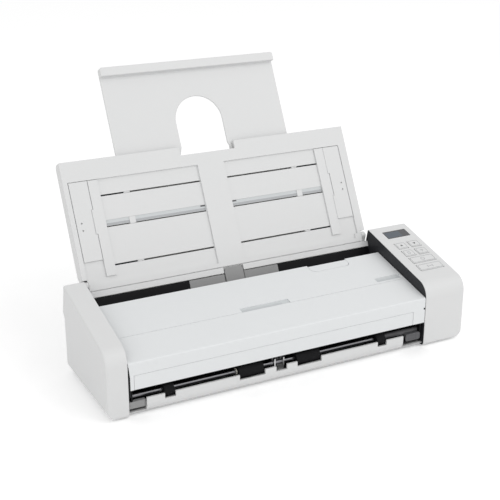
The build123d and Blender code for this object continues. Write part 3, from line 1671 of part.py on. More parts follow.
train_teeth = [exit_gear_teeth, front_idler_teeth, motor_pinion_teeth, back_idler_teeth, feed_gear_teeth]
train_names = ["exit_gear", "front_idler_gear", "motor_pinion", "back_idler_gear", "feed_gear"]
train_bores = [exit_shaft_radius, idler_pin_radius + running_gap, motor_shaft_radius,
               idler_pin_radius + running_gap, feed_shaft_radius]
gear_places = train_places()


def drive_gears():
    """The five gears of the drive train, by name."""
    gears = {}
    phase = 0.0
    for index, teeth in enumerate(train_teeth):
        if index > 0:
            phase = next_gear(phase, train_teeth[index - 1], gear_places[index - 1], teeth, gear_places[index])
        place = gear_places[index]
        disc = gear_face(teeth, phase) - Circle(train_bores[index])
        gears[train_names[index]] = across(Pos(*place) * disc, gear_start_x, gear_start_x + gear_width)
    gears["motor_pinion"] += rod(gear_start_x, motor_x + wall, *gear_places[2], motor_shaft_radius)
    return gears


def idler_pins():
    """Fixed pins of the two idler gears, standing on the right side plate."""
    x_low = bay_right + side_plate_thickness
    x_high = gear_start_x + gear_width + idler_pin_end
    return [rod(x_low, x_high, *gear_places[index], idler_pin_radius) for index in (1, 3)]


def motor():
    """Drive motor: can with its nose, bored for the shaft and for two screws."""
    y, z = gear_places[2]
    can = rod(motor_x, motor_x + motor_length, y, z, motor_radius)
    can += rod(motor_x - motor_plate_thickness, motor_x + wall, y, z, motor_nose_radius)
    return can - rod(motor_x - wall, motor_x + 2 * wall, y, z, motor_shaft_radius + running_gap)


def motor_bracket():
    """Steel bracket: plate at the motor's face on two legs between the idler gears, with two screw heads."""
    y, z = gear_places[2]
    x_low = motor_x - motor_plate_thickness
    plate = rod(x_low, motor_x, y, z, motor_radius)
    plate -= rod(x_low - wall, motor_x + wall, y, z, motor_nose_radius + running_gap)
    x_plate = bay_right + side_plate_thickness
    front_turn, back_turn = [atan2(gear_places[i][1] - z, gear_places[i][0] - y) for i in (1, 3)]
    middle_turn = (front_turn % (2 * pi) + back_turn) / 2
    for side in (-1, 1):
        turn = middle_turn + side * radians(bracket_leg_turn)
        leg_y = y + bracket_leg_reach * cos(turn)
        leg_z = z + bracket_leg_reach * sin(turn)
        plate += rod(x_plate, motor_x, leg_y, leg_z, bracket_leg_radius)
        plate += rod(x_low - motor_screw_head, motor_x, y + side * motor_screw_reach, z, motor_screw_radius)
    return plate


def guide_pinion():
    """Pinion between the two racks."""
    disc = gear_face(guide_pinion_teeth, 90.0) - Circle(pinion_post_radius + running_gap)
    return TRAY * upright(Pos(paper_centre_x, groove_mid_s) * disc, pinion_cap - pinion_back, -rack_front)


def rack(side):
    """Rack of one guide: toothed bar across the pinion and a post through the groove's slit."""
    pitch = pi * gear_module
    pitch_s = groove_mid_s - side * gear_module * guide_pinion_teeth / 2
    far = paper_centre_x + side * post_outer
    near = paper_centre_x - side * rack_near_reach
    root = pitch_s - side * tooth_root * gear_module
    back_s = root - side * rack_depth
    bar = slab(min(near, far), max(near, far), min(root, back_s), max(root, back_s), rack_front, rack_back)
    reach = guide_travel + 3 * pitch
    count = ceil(reach / pitch)
    half_low = pitch / 4 - tooth_thinning / 2 + tooth_root * gear_module * tan(pressure)
    half_high = pitch / 4 - tooth_thinning / 2 - tooth_tip * gear_module * tan(pressure)
    tip_s = pitch_s + side * tooth_tip * gear_module
    teeth = []
    for index in range(-2, count):
        x = paper_centre_x + side * (index + 0.5) * pitch
        outline = Polygon(
            (x - half_low, root - side * 0.1),
            (x + half_low, root - side * 0.1),
            (x + half_high, tip_s),
            (x - half_high, tip_s),
            align=None,
        )
        teeth.append(upright(outline, -rack_back, -rack_front))
    bar += teeth
    a = paper_centre_x + side * post_inner
    b = paper_centre_x + side * post_outer
    slit_low = groove_low_s + slit_side_gap
    slit_high = groove_low_s + groove_slit - slit_side_gap
    c = paper_centre_x + side * skid_inner
    d = paper_centre_x + side * skid_outer
    front = guide_back - slot_side_gap
    tongue_front = recess_depth - skid_rise
    for near, far, foot_front in ((a, b, front), (c, d, tongue_front)):
        low = min(near, far)
        high = max(near, far)
        bar += slab(low, high, min(slit_low, back_s), max(slit_high, back_s), rack_front, rack_back)
        bar += slab(low, high, slit_low, slit_high, foot_front, rack_back)
    tongue_high = groove_high_s - slit_side_gap
    bar += slab(min(c, d), max(c, d), slit_low, tongue_high, tongue_front, groove_floor - slit_side_gap)
    return bar


# Everything, by node name
def scanner_nodes():
    """All nodes of the scanner."""
    nodes = {
        "base_casing": base_casing(),
        "rubber_feet": feet(),
        "left_end_cap": left_end_cap(),
        "right_end_cap": right_end_cap(),
        "left_side_plate": side_plate(-1),
        "right_side_plate": side_plate(1),
        "frame_beams": [beam(front_boss_y), beam(middle_boss_y)],
        "rear_panel": rear_panel(),
        "case_screws": case_screws(),
        "main_board": main_board(),
        "dc_jack": dc_jack(),
        "usb_socket": usb_socket(),
        "lower_guide": lower_guide(),
        "lower_sensor": lower_sensor(),
        "lower_glass": lower_glass(),
        "feed_sill": feed_sill(),
        "feed_insert": feed_insert(),
        "sensor_tab": sensor_tab(),
        "shaft_bushes": shaft_bushes(),
        "exit_shaft": exit_shaft(),
        "exit_rollers": exit_rollers(),
        "shaft_clip": shaft_clip(),
        "feed_shaft": feed_shaft(),
        "feed_tyres": feed_tyres(),
        "motor": motor(),
        "motor_bracket": motor_bracket(),
        "idler_pins": idler_pins(),
        "panel_board": panel_board(),
        "display_module": display_module(),
        "display_window": display_window(),
        "cover_hinge_pins": cover_pins(),
        "cover_shell": cover_shell(),
        "front_strip": front_strip(),
        "cover_frame": cover_frame(),
        "cover_release_tab": cover_release_tab(),
        "separation_holder": separation_holder(),
        "separation_roller": separation_roller(),
        "pinch_rollers": pinch_rollers(),
        "upper_sensor": upper_sensor(),
        "upper_glass": upper_glass(),
        "tray_front_plate": tray_front_plate(),
        "tray_rear_shell": tray_rear_shell(),
        "tray_hinge_pins": tray_pins(),
        "paper_extension": extension_plate(),
        "left_guide_base": TRAY * guide_base(-1),
        "right_guide_base": TRAY * guide_base(1),
        "left_guide_flap": guide_flap(-1),
        "right_guide_flap": guide_flap(1),
        "guide_pinion": guide_pinion(),
    }
    nodes.update(drive_gears())
    for name, (x, y, width, length) in key_places.items():
        nodes[name] = key(x, y, width, length)
    return nodes


tip_y = tray_point(extension_top_s, extension_back)[0]
origin_y = (front_y + tip_y) / 2

for node_name, shape in scanner_nodes().items():
    pieces = shape if isinstance(shape, list) else [shape]
    moved = [Pos(0, -origin_y, 0) * piece for piece in pieces]
    node = moved[0] if len(moved) == 1 else Compound(children=moved)
    export_step(node, f"parts/{node_name}.step")
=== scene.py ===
"""Looks of a portable document scanner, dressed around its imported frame.

Every length in the classes is in millimetres unless its name says otherwise.
"""

from __future__ import annotations

import json
import logging
import math
from dataclasses import dataclass
from enum import Enum
from functools import cache

import bmesh
import bpy
from bmesh.types import BMesh, BMFace, BMVert
from bpy.types import ID, Material, Mesh, Node, NodeSocket, NodeTree, Object, World
from mathutils import Matrix, Vector
from mathutils.geometry import convex_hull_2d

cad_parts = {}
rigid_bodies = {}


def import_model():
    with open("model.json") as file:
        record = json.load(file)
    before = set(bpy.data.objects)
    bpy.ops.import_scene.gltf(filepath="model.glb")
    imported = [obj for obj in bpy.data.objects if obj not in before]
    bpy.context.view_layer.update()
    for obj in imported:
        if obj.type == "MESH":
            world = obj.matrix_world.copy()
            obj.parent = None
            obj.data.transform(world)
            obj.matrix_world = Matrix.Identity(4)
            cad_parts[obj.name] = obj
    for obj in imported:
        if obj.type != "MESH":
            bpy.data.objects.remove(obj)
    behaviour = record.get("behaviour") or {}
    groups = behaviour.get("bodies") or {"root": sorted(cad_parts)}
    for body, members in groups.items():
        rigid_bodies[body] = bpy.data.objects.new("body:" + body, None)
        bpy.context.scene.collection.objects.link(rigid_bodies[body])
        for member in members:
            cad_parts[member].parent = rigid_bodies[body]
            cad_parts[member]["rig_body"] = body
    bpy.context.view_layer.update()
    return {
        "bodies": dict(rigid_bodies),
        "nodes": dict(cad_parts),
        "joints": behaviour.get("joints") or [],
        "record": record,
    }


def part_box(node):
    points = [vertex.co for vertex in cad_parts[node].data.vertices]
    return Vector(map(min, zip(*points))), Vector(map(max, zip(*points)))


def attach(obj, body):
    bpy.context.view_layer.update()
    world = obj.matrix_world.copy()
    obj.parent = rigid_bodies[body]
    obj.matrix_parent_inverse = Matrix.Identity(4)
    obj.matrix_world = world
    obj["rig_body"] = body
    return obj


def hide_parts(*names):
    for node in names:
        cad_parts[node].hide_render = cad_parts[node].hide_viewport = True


# Two lengths or the two coordinates of a point, a place, and the four numbers that set a rectangle.
Pair = tuple[float, float]
Place = tuple[float, float, float]
Sides = tuple[float, float, float, float]
Outline = list[Pair]

LOG = logging.getLogger("document_scanner")
MM = 0.001
ACROSS = Vector((1.0, 0.0, 0.0))
FORWARD = Vector((0.0, -1.0, 0.0))
UPWARD = Vector((0.0, 0.0, 1.0))
QUARTER_TURN = math.radians(90.0)
# Edges that turn by less are shaded smooth.
SMOOTH_ANGLE = math.radians(32.0)
# Edges that turn by more are rounded, in this many steps.
BEVEL_ANGLE = math.radians(38.0)
BEVEL_SEGMENTS = 2
# Points this close are welded, and faces this flat are joined, before edges are rounded.
WELD_DISTANCE = 0.001 * MM
FLAT_ANGLE = math.radians(0.3)
# Points that lie this little behind the outermost one belong to the same face.
FACE_DEPTH = 0.02 * MM
# Most degrees that one side of a printed arc spans, and the fewest sides that it has.
ARC_STEP = 12
ARC_SIDES = 6
# Sides of a rounded corner, of a printed dot and of a sleeve.
CORNER_SIDES = 5
DOT_SIDES = 12
SLEEVE_SIDES = 36
# Noise of the clouds in a colour, and of the relief in a surface.
CLOUD_DETAIL = 2.0
RELIEF_DETAIL = 3.0
RELIEF_ROUGHNESS = 0.6
RELIEF_STRENGTH = 0.6
# Drawn lines run this much slower along the bar than across it.
DRAWN_STRETCH = 0.02
# Sockets of the mix node: factor, values and colours that it blends, and its colour output.
MIX_FACTOR = 0
MIX_VALUES = (2, 3)
MIX_COLOURS = (6, 7)
MIX_COLOUR_OUT = 2


class Grain(Enum):
    """How a surface was made, which decides its fine pattern."""

    MOULDED = "spark-eroded mould texture"
    POLISHED = "polished mould or glass"
    DRAWN = "lines drawn along the X axis"
    GROUND = "ground rubber"


class Mark(Enum):
    """Sign printed on a key."""

    UP = "triangle pointing up"
    DOWN = "triangle pointing down"
    PAGE = "outline of a page"
    WAVES = "arcs of a radio signal"
    POWER = "broken ring with a bar"
    SCAN = "bar between two corners"


def linear(colour: str) -> tuple[float, ...]:
    """Turns an sRGB hex colour into linear values.

    Args:
        colour: The colour as six hex digits after a hash.

    Returns:
        Red, green, blue and an alpha of 1.
    """
    values = [int(colour[start : start + 2], 16) / 255 for start in (1, 3, 5)]
    steps = [v / 12.92 if v <= 0.04045 else ((v + 0.055) / 1.055) ** 2.4 for v in values]
    return (steps[0], steps[1], steps[2], 1.0)


def add_node(
    tree: NodeTree,
    kind: str,
    settings: dict[str, object] | None = None,
    values: dict[str | int, object] | None = None,
    links: dict[str | int, NodeSocket] | None = None,
) -> Node:
    """Adds a node with its settings, socket values and links.

    Args:
        tree: Shader, world or geometry tree that gets the node.
        kind: Blender's name of the node type.
        settings: Properties of the node.
        values: Values of unlinked input sockets.
        links: Output sockets that feed the node's inputs.

    Returns:
        The new node.
    """
    node = tree.nodes.new(kind)
    for name, value in (settings or {}).items():
        setattr(node, name, value)
    for name, value in (values or {}).items():
        node.inputs[name].default_value = value
    for name, source in (links or {}).items():
        tree.links.new(source, node.inputs[name])
    return node


def emptied_tree(owner: Material | World) -> NodeTree:
    """Switches a new material or world to nodes.

    Args:
        owner: The material or world.

    Returns:
        Its node tree, without the first nodes.
    """
    owner.use_nodes = True
    owner.node_tree.nodes.clear()
    return owner.node_tree


def add_object(name: str, data: ID) -> Object:
    """Puts a new object into the scene.

    Args:
        name: Name of the object.
        data: Its mesh, camera or light.

    Returns:
        The object.
    """
    added = bpy.data.objects.new(name, data)
    bpy.context.scene.collection.objects.link(added)
    return added


@dataclass(frozen=True)
class Finish:
    """One surface finish, as a recipe for a procedural material.

    Real mould texture is about 0.1 mm fine. It is drawn at 0.6 mm, the finest that shows in the render.
    """

    name: str
    colour: str
    roughness: float
    grain: Grain = Grain.MOULDED
    grain_mm: float = 0.6
    relief_mm: float = 0.01
    shade: str = ""
    shade_mm: float = 40.0
    metallic: float = 0.0
    ior: float = 1.5
    coat: float = 0.0
    transmission: float = 0.0
    specular: float = 0.5

    @cache
    def material(self) -> Material:
        """Makes the material, once for all pieces.

        Returns:
            A material whose patterns read object coordinates.
        """
        material = bpy.data.materials.new(self.name)
        tree = emptied_tree(material)
        values = {
            "Base Color": linear(self.colour),
            "Roughness": self.roughness,
            "Metallic": self.metallic,
            "IOR": self.ior,
            "Coat Weight": self.coat,
            "Transmission Weight": self.transmission,
            "Specular IOR Level": self.specular,
        }
        place = add_node(tree, "ShaderNodeTexCoord").outputs["Object"]
        links = {}
        if self.shade:
            links["Base Color"] = self.mottled_colour(tree, place)
        if self.grain is not Grain.POLISHED:
            links["Normal"] = self.surface_relief(tree, place)
        shader = add_node(tree, "ShaderNodeBsdfPrincipled", values=values, links=links)
        add_node(tree, "ShaderNodeOutputMaterial", links={"Surface": shader.outputs["BSDF"]})
        return material

    def mottled_colour(self, tree: NodeTree, place: NodeSocket) -> NodeSocket:
        """Blends the colour and its shade in soft clouds.

        Args:
            tree: The material's node tree.
            place: Output socket with object coordinates.

        Returns:
            The colour output.
        """
        values = {"Scale": 1.0 / (self.shade_mm * MM), "Detail": CLOUD_DETAIL}
        cloud = add_node(tree, "ShaderNodeTexNoise", values=values, links={"Vector": place})
        mix = add_node(
            tree, "ShaderNodeMix", settings={"data_type": "RGBA"},
            values=dict(zip(MIX_COLOURS, (linear(self.colour), linear(self.shade)))),
            links={MIX_FACTOR: cloud.outputs["Fac"]},
        )
        return mix.outputs[MIX_COLOUR_OUT]

    def surface_relief(self, tree: NodeTree, place: NodeSocket) -> NodeSocket:
        """Turns the grain's pattern into relief.

        Args:
            tree: The material's node tree.
            place: Output socket with object coordinates.

        Returns:
            The normal output.
        """
        if self.grain is Grain.DRAWN:
            stretch = add_node(
                tree, "ShaderNodeMapping", values={"Scale": (DRAWN_STRETCH, 1.0, 1.0)},
                links={"Vector": place},
            )
            place = stretch.outputs["Vector"]
        scale = 1.0 / (self.grain_mm * MM)
        values = {"Scale": scale, "Detail": RELIEF_DETAIL, "Roughness": RELIEF_ROUGHNESS}
        grain = add_node(tree, "ShaderNodeTexNoise", values=values, links={"Vector": place})
        relief = add_node(
            tree, "ShaderNodeBump", values={"Strength": RELIEF_STRENGTH, "Distance": self.relief_mm * MM},
            links={"Height": grain.outputs["Fac"]},
        )
        return relief.outputs["Normal"]


# White ABS moulded in a lightly eroded tool: an even, soft sheen without sharp reflections.
WHITE_ABS = Finish("white_abs_moulded", "#dcdcdc", 0.48, shade="#dadbdb", relief_mm=0.006)
# The cover is the same ABS in a slightly cooler white, from a smoother mould.
COVER_ABS = Finish("cool_white_abs_moulded", "#e3e5e6", 0.42, shade="#e1e3e4", relief_mm=0.005)
# Black ABS of the paper guides and the cover's frame: satin, so that it stays dark under a bright sky.
BLACK_ABS = Finish("black_abs_satin", "#0d0d0f", 0.5, shade="#0b0b0d", relief_mm=0.008, specular=0.12)
# Inner walls are black ABS in a coarser texture, which looks dark grey.
WALL_ABS = Finish("black_abs_textured", "#2b2c2f", 0.55, shade="#28292c", relief_mm=0.012, specular=0.3)
# Grey ABS of the insert, the paper sensor tab, the bushes and the left hinge block.
GREY_ABS = Finish("grey_abs_satin", "#949494", 0.45, shade="#909090", relief_mm=0.006)
# Dark grey ABS of the right hinge block. The same grey paints the shade on the exit shaft, as a sleeve, and
# at the inner ends of the tray's groove.
DIM_ABS_AND_SHADE = Finish("dark_grey_abs_and_painted_shade", "#5d5d5f", 0.5, shade="#59595b", relief_mm=0.006, specular=0.3)
# Flat matt greys without a highlight that paint the shade in the tray's groove and on the floors of the
# finger recesses.
GROOVE_SHADE, PALE_SHADE, MIDDLE_SHADE = (
    Finish(f"{grey}_grey_painted_shade", colour, 0.7, shade=shade, relief_mm=0.004, specular=0.2)
    for grey, colour, shade in (
        ("mid", "#b4b6b8", "#b0b2b4"), ("pale", "#cfd2d3", "#ccd0d1"), ("middle", "#c6c9cb", "#c3c6c8"),
    )
)
# Black sheets that paint the shade in the outer parts of the guides' thin slots and in the gaps at the
# cover's left edge and right front corner: matt, with a fibrous relief.
BLACK_SHADE = Finish(
    "black_seal_felt", "#2a2b2d", 0.9, Grain.GROUND, grain_mm=0.4, relief_mm=0.03, specular=0.1
)
# Natural acetal of the gears: waxy, a little warm. The same white on a collar at the exit shaft's left end
# paints a glint there.
ACETAL_AND_GLINT = Finish("natural_acetal_and_painted_glint", "#e2dfd6", 0.35, shade="#dedbd1", relief_mm=0.004)
# Drawn steel of shafts, pins and beams, darker than bright steel to paint the dark slot that the exit shaft
# reflects: lines along the bar, drawn coarser than real so that they show.
DRAWN_STEEL = Finish(
    "drawn_bright_steel", "#7c7c7f", 0.3, Grain.DRAWN, grain_mm=0.25, relief_mm=0.003, metallic=1.0
)
# Spring steel of the shaft clip: brighter and smoother than the shaft.
SPRING_STEEL = Finish("polished_spring_steel", "#e4e4e4", 0.32, Grain.POLISHED, metallic=1.0)
# EPDM rubber of rollers, tyres and feet, ground to size: matt and nearly black.
GROUND_RUBBER = Finish(
    "ground_epdm_rubber", "#0e0e10", 0.75, Grain.GROUND, grain_mm=0.35, relief_mm=0.02, shade="#131315",
    specular=0.2,
)
# Housing of the image sensors, moulded in black glass-filled nylon: dull, with fibres near the surface.
SENSOR_NYLON = Finish("black_glass_filled_nylon", "#1b1b1d", 0.6, relief_mm=0.015)
# Float glass over the sensors: clear, with sharp reflections.
FLOAT_GLASS = Finish("clear_float_glass", "#f2f7f5", 0.02, Grain.POLISHED, ior=1.52, transmission=0.85)
# Hard-coated acrylic of the display window, tinted dark grey: glossy.
TINTED_ACRYLIC = Finish("tinted_acrylic", "#36363a", 0.18, Grain.POLISHED, coat=0.3)
# Liquid crystal area of the display: slate blue while it is unlit.
DISPLAY_SLATE = Finish("unlit_display", "#3c4753", 0.22, Grain.POLISHED, coat=0.3)
# Solder mask printed on glass-fibre board: green, with a soft gloss.
SOLDER_MASK = Finish("green_solder_mask", "#1d5b33", 0.38, shade="#1a5330", shade_mm=6.0, relief_mm=0.01)
# Pad-printed ink of the key signs and of the outlines round the keys.
DARK_INK = Finish("dark_grey_ink", "#4a4b4d", 0.6, Grain.POLISHED)
PALE_INK = Finish("pale_grey_ink", "#9c9ea0", 0.55, Grain.POLISHED)

NODE_FINISHES: dict[Finish, tuple[str, ...]] = {
    WHITE_ABS: (
        "base_casing", "left_end_cap", "right_end_cap", "rear_panel", "feed_sill",
        "tray_front_plate", "tray_rear_shell", "paper_extension",
        "left_guide_base", "right_guide_base", "left_guide_flap", "right_guide_flap",
        "key_up", "key_down", "key_mode", "key_wireless", "key_power", "key_scan",
    ),
    COVER_ABS: ("cover_shell", "front_strip", "cover_release_tab"),
    BLACK_ABS: ("lower_guide", "cover_frame", "separation_holder", "dc_jack"),
    WALL_ABS: ("left_side_plate", "right_side_plate"),
    GREY_ABS: ("feed_insert", "sensor_tab", "shaft_bushes"),
    ACETAL_AND_GLINT: ("guide_pinion", "exit_gear", "feed_gear", "front_idler_gear", "back_idler_gear", "motor_pinion"),
    DRAWN_STEEL: (
        "frame_beams", "case_screws", "exit_shaft", "feed_shaft", "motor", "motor_bracket",
        "idler_pins", "cover_hinge_pins", "tray_hinge_pins", "usb_socket",
    ),
    SPRING_STEEL: ("shaft_clip",),
    GROUND_RUBBER: ("rubber_feet", "exit_rollers", "feed_tyres", "separation_roller", "pinch_rollers"),
    SENSOR_NYLON: ("lower_sensor", "upper_sensor"),
    FLOAT_GLASS: ("lower_glass", "upper_glass"),
    TINTED_ACRYLIC: ("display_window", "display_module"),
    SOLDER_MASK: ("main_board", "panel_board"),
}


@dataclass(frozen=True)
class Face:
    """Flat face of the scanner: a point on it and its directions across, up and outwards."""

    origin: Vector
    up: Vector
    out: Vector

    def place(self, x: float, up: float, out: float) -> Vector:
        """Point in metres at distances in millimetres from the face's origin."""
        return self.origin + MM * (x * ACROSS + up * self.up + out * self.out)


class Frame:
    """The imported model: its nodes, bodies, joints and their directions."""

    def __init__(self, loaded: dict) -> None:
        self.nodes: dict[str, Object] = loaded["nodes"]
        self.joints = {joint["name"]: joint for joint in loaded["joints"]}

    def body(self, node: str) -> str:
        """Name of the body that a node belongs to."""
        return self.nodes[node]["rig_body"]

    def axis(self, joint: str) -> Vector:
        """Direction of a joint."""
        return Vector(self.joints[joint]["axis"]).normalized()

    def face(self, node: str, out: Vector) -> Face:
        """Outermost face of a node in a direction at right angles to X.

        Args:
            node: Node whose face is wanted.
            out: Direction that the face looks in.

        Returns:
            The face, with its origin in the middle of the node's outermost points.
        """
        points = [vertex.co for vertex in self.nodes[node].data.vertices]
        reach = max(point.dot(out) for point in points)
        near = [point for point in points if reach - point.dot(out) < FACE_DEPTH]
        up = out.cross(ACROSS).normalized()
        middle_x = (min(p.x for p in near) + max(p.x for p in near)) / 2
        heights = [p.dot(up) for p in near]
        middle_up = (min(heights) + max(heights)) / 2
        return Face(middle_x * ACROSS + middle_up * up + reach * out, up, out)


def finish_piece(
    mesh: Mesh, name: str, material: Material, body: str, replaced: tuple[str, ...] = ()
) -> Object:
    """Puts a finished mesh into the scene as a piece.

    Args:
        mesh: Mesh with its place in its vertices.
        name: Name of the piece.
        material: Material of the piece, unless the mesh has its own.
        body: CAD body that it rides on.
        replaced: CAD nodes that it stands for.

    Returns:
        The piece.
    """
    if not mesh.materials:
        mesh.materials.append(material)
    piece = add_object(name, mesh)
    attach(piece, body)
    if replaced:
        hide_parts(*replaced)
    LOG.info("%s rides on %s", name, body)
    return piece


def mesh_from(bm: BMesh, name: str, turn_outwards: bool = True) -> Mesh:
    """Turns a finished bmesh into a mesh, shaded smooth between sharp edges, and frees it.

    Args:
        bm: Mesh to turn and free.
        name: Name of the new mesh.
        turn_outwards: Whether its normals still have to be turned outwards.

    Returns:
        The new mesh.
    """
    if turn_outwards:
        bmesh.ops.recalc_face_normals(bm, faces=bm.faces)
    for face in bm.faces:
        face.smooth = True
    for edge in bm.edges:
        edge.smooth = len(edge.link_faces) == 2 and edge.calc_face_angle(0.0) < SMOOTH_ANGLE
    mesh = bpy.data.meshes.new(name)
    bm.to_mesh(mesh)
    bm.free()
    return mesh


def bridge(bm: BMesh, first: list[BMVert], second: list[BMVert]) -> list[BMFace]:
    """Joins two rings of equally many points with faces.

    Args:
        bm: Mesh that gets the faces.
        first: Points of one ring.
        second: Points of the other ring.

    Returns:
        The faces.
    """
    count = len(first)
    faces = []
    for index in range(count):
        after = (index + 1) % count
        faces.append(bm.faces.new((first[index], first[after], second[after], second[index])))
    return faces


def add_prism(bm: BMesh, outline: Outline, face: Face, low: float, high: float) -> list[BMFace]:
    """Adds an upright prism on a face.

    Args:
        bm: Mesh that gets the prism.
        outline: Points across and up the face, in millimetres, counterclockwise.
        face: Face that the prism stands on.
        low: Height of its foot off the face.
        high: Height of its top off the face.

    Returns:
        The prism's faces, its top last.
    """
    foot = [bm.verts.new(face.place(x, up, low)) for x, up in outline]
    top = [bm.verts.new(face.place(x, up, high)) for x, up in outline]
    return [bm.faces.new(list(reversed(foot))), *bridge(bm, foot, top), bm.faces.new(top)]


def arc(centre: Pair, radius: float, start: float, end: float, steps: int) -> Outline:
    """Points of an arc, with its angles in degrees."""
    angles = [math.radians(start + (end - start) * index / steps) for index in range(steps + 1)]
    return [(centre[0] + radius * math.cos(a), centre[1] + radius * math.sin(a)) for a in angles]


def dot(centre: Pair, radius: float, sides: int) -> Outline:
    """Outline of a disc as a polygon, counterclockwise."""
    return arc(centre, radius, 0.0, 360.0 * (sides - 1) / sides, sides - 1)


def band(centre: Pair, radius: float, line: float, start: float, end: float) -> Outline:
    """Outline of a stretch of a ring.

    Args:
        centre: Centre of the ring.
        radius: Radius of the ring's middle line.
        line: Width of the ring.
        start: Angle of its first end in degrees.
        end: Angle of its other end in degrees.

    Returns:
        The outline, counterclockwise.
    """
    steps = max(ARC_SIDES, int(abs(end - start) / ARC_STEP))
    outer = arc(centre, radius + line / 2, start, end, steps)
    inner = arc(centre, radius - line / 2, end, start, steps)
    return outer + inner


def rectangle(left: float, right: float, low: float, high: float) -> Outline:
    """Outline of a rectangle, counterclockwise."""
    return [(left, low), (right, low), (right, high), (left, high)]


def rounded_rectangle(width: float, length: float, radius: float) -> Outline:
    """Outline of a rectangle with round corners about the origin.

    Args:
        width: Its size across.
        length: Its size up.
        radius: Radius of its corners.

    Returns:
        The outline, counterclockwise.
    """
    x = width / 2 - radius
    y = length / 2 - radius
    points: Outline = []
    for centre, start in (((x, -y), -90.0), ((x, y), 0.0), ((-x, y), 90.0), ((-x, -y), 180.0)):
        points += arc(centre, radius, start, start + 90.0, CORNER_SIDES)
    return points


def round_edges(piece: Object, edge_mm: float) -> None:
    """Rounds a piece's sharp edges as a mould does.

    Args:
        piece: The piece.
        edge_mm: Radius of its edges.
    """
    bevel = piece.modifiers.new("moulded_edges", "BEVEL")
    bevel.width = edge_mm * MM
    bevel.segments = BEVEL_SEGMENTS
    bevel.limit_method = "ANGLE"
    bevel.angle_limit = BEVEL_ANGLE
    bevel.use_clamp_overlap = True
    bevel.harden_normals = True


class GeometryTree:
    """A geometry node tree with named inputs, run once to give a plain mesh."""

    def __init__(self, name: str) -> None:
        """Makes the tree with its geometry input and output.

        Args:
            name: Its name.
        """
        self.tree = bpy.data.node_groups.new(name, "GeometryNodeTree")
        self.tree.interface.new_socket("Geometry", in_out="INPUT", socket_type="NodeSocketGeometry")
        self.tree.interface.new_socket("Geometry", in_out="OUTPUT", socket_type="NodeSocketGeometry")
        self.identifiers: dict[str, str] = {}
        self.start = add_node(self.tree, "NodeGroupInput")

    def add_input(self, name: str, kind: str = "NodeSocketFloat") -> None:
        """Adds a named input of a socket type."""
        socket = self.tree.interface.new_socket(name, in_out="INPUT", socket_type=kind)
        self.identifiers[name] = socket.identifier

    def value(self, name: str) -> NodeSocket:
        """Output socket of a named input."""
        return self.start.outputs[name]

    def end(self, geometry: NodeSocket) -> None:
        """Realizes the instances, sets the material and closes the tree.

        Args:
            geometry: Geometry that the tree gives.
        """
        plain = add_node(self.tree, "GeometryNodeRealizeInstances", links={0: geometry})
        dressed = add_node(
            self.tree, "GeometryNodeSetMaterial",
            links={"Geometry": plain.outputs[0], "Material": self.value("Material")},
        )
        add_node(self.tree, "NodeGroupOutput", links={0: dressed.outputs[0]})

    def run(self, name: str, points: list[Vector], inputs: dict[str, object]) -> Mesh:
        """Runs the tree on points.

        Args:
            name: Name of the mesh.
            points: Points that the tree works on, in metres.
            inputs: Values of the named inputs.

        Returns:
            A plain mesh.
        """
        base = bpy.data.meshes.new(f"{name}_points")
        base.from_pydata(points, [], [])
        carrier = add_object(f"{name}_carrier", base)
        modifier = carrier.modifiers.new("tree", "NODES")
        modifier.node_group = self.tree
        for key, value in inputs.items():
            modifier[self.identifiers[key]] = value
        bpy.context.view_layer.update()
        shown = carrier.evaluated_get(bpy.context.evaluated_depsgraph_get())
        mesh = bpy.data.meshes.new_from_object(shown)
        mesh.name = name
        carrier.modifiers.remove(modifier)
        bpy.data.objects.remove(carrier)
        return mesh


def roller_rib_tree() -> GeometryTree:
    """Tree that stands a ring of fine ribs round the X axis on every point.

    Returns:
        The tree, with inputs in metres.
    """
    made = GeometryTree("roller_ribs")
    for name in ("Radius", "Width", "Rib Width", "Rib Height"):
        made.add_input(name)
    made.add_input("Count", "NodeSocketInt")
    made.add_input("Material", "NodeSocketMaterial")
    tree = made.tree
    ring = add_node(
        tree, "GeometryNodeMeshCircle",
        links={"Vertices": made.value("Count"), "Radius": made.value("Radius")},
    )
    outward = add_node(tree, "GeometryNodeInputPosition")
    turn = add_node(
        tree, "FunctionNodeAlignRotationToVector", settings={"axis": "X"},
        links={"Vector": outward.outputs[0]},
    )
    size = add_node(
        tree, "ShaderNodeCombineXYZ",
        links={0: made.value("Rib Height"), 1: made.value("Rib Width"), 2: made.value("Width")},
    )
    rib = add_node(tree, "GeometryNodeMeshCube", links={"Size": size.outputs[0]})
    ribs = add_node(
        tree, "GeometryNodeInstanceOnPoints",
        links={"Points": ring.outputs[0], "Instance": rib.outputs[0], "Rotation": turn.outputs[0]},
    )
    plain = add_node(tree, "GeometryNodeRealizeInstances", links={0: ribs.outputs[0]})
    laid = add_node(
        tree, "GeometryNodeTransform", values={"Rotation": (0.0, QUARTER_TURN, 0.0)},
        links={0: plain.outputs[0]},
    )
    on_points = add_node(
        tree, "GeometryNodeInstanceOnPoints",
        links={"Points": made.value("Geometry"), "Instance": laid.outputs[0]},
    )
    made.end(on_points.outputs[0])
    return made


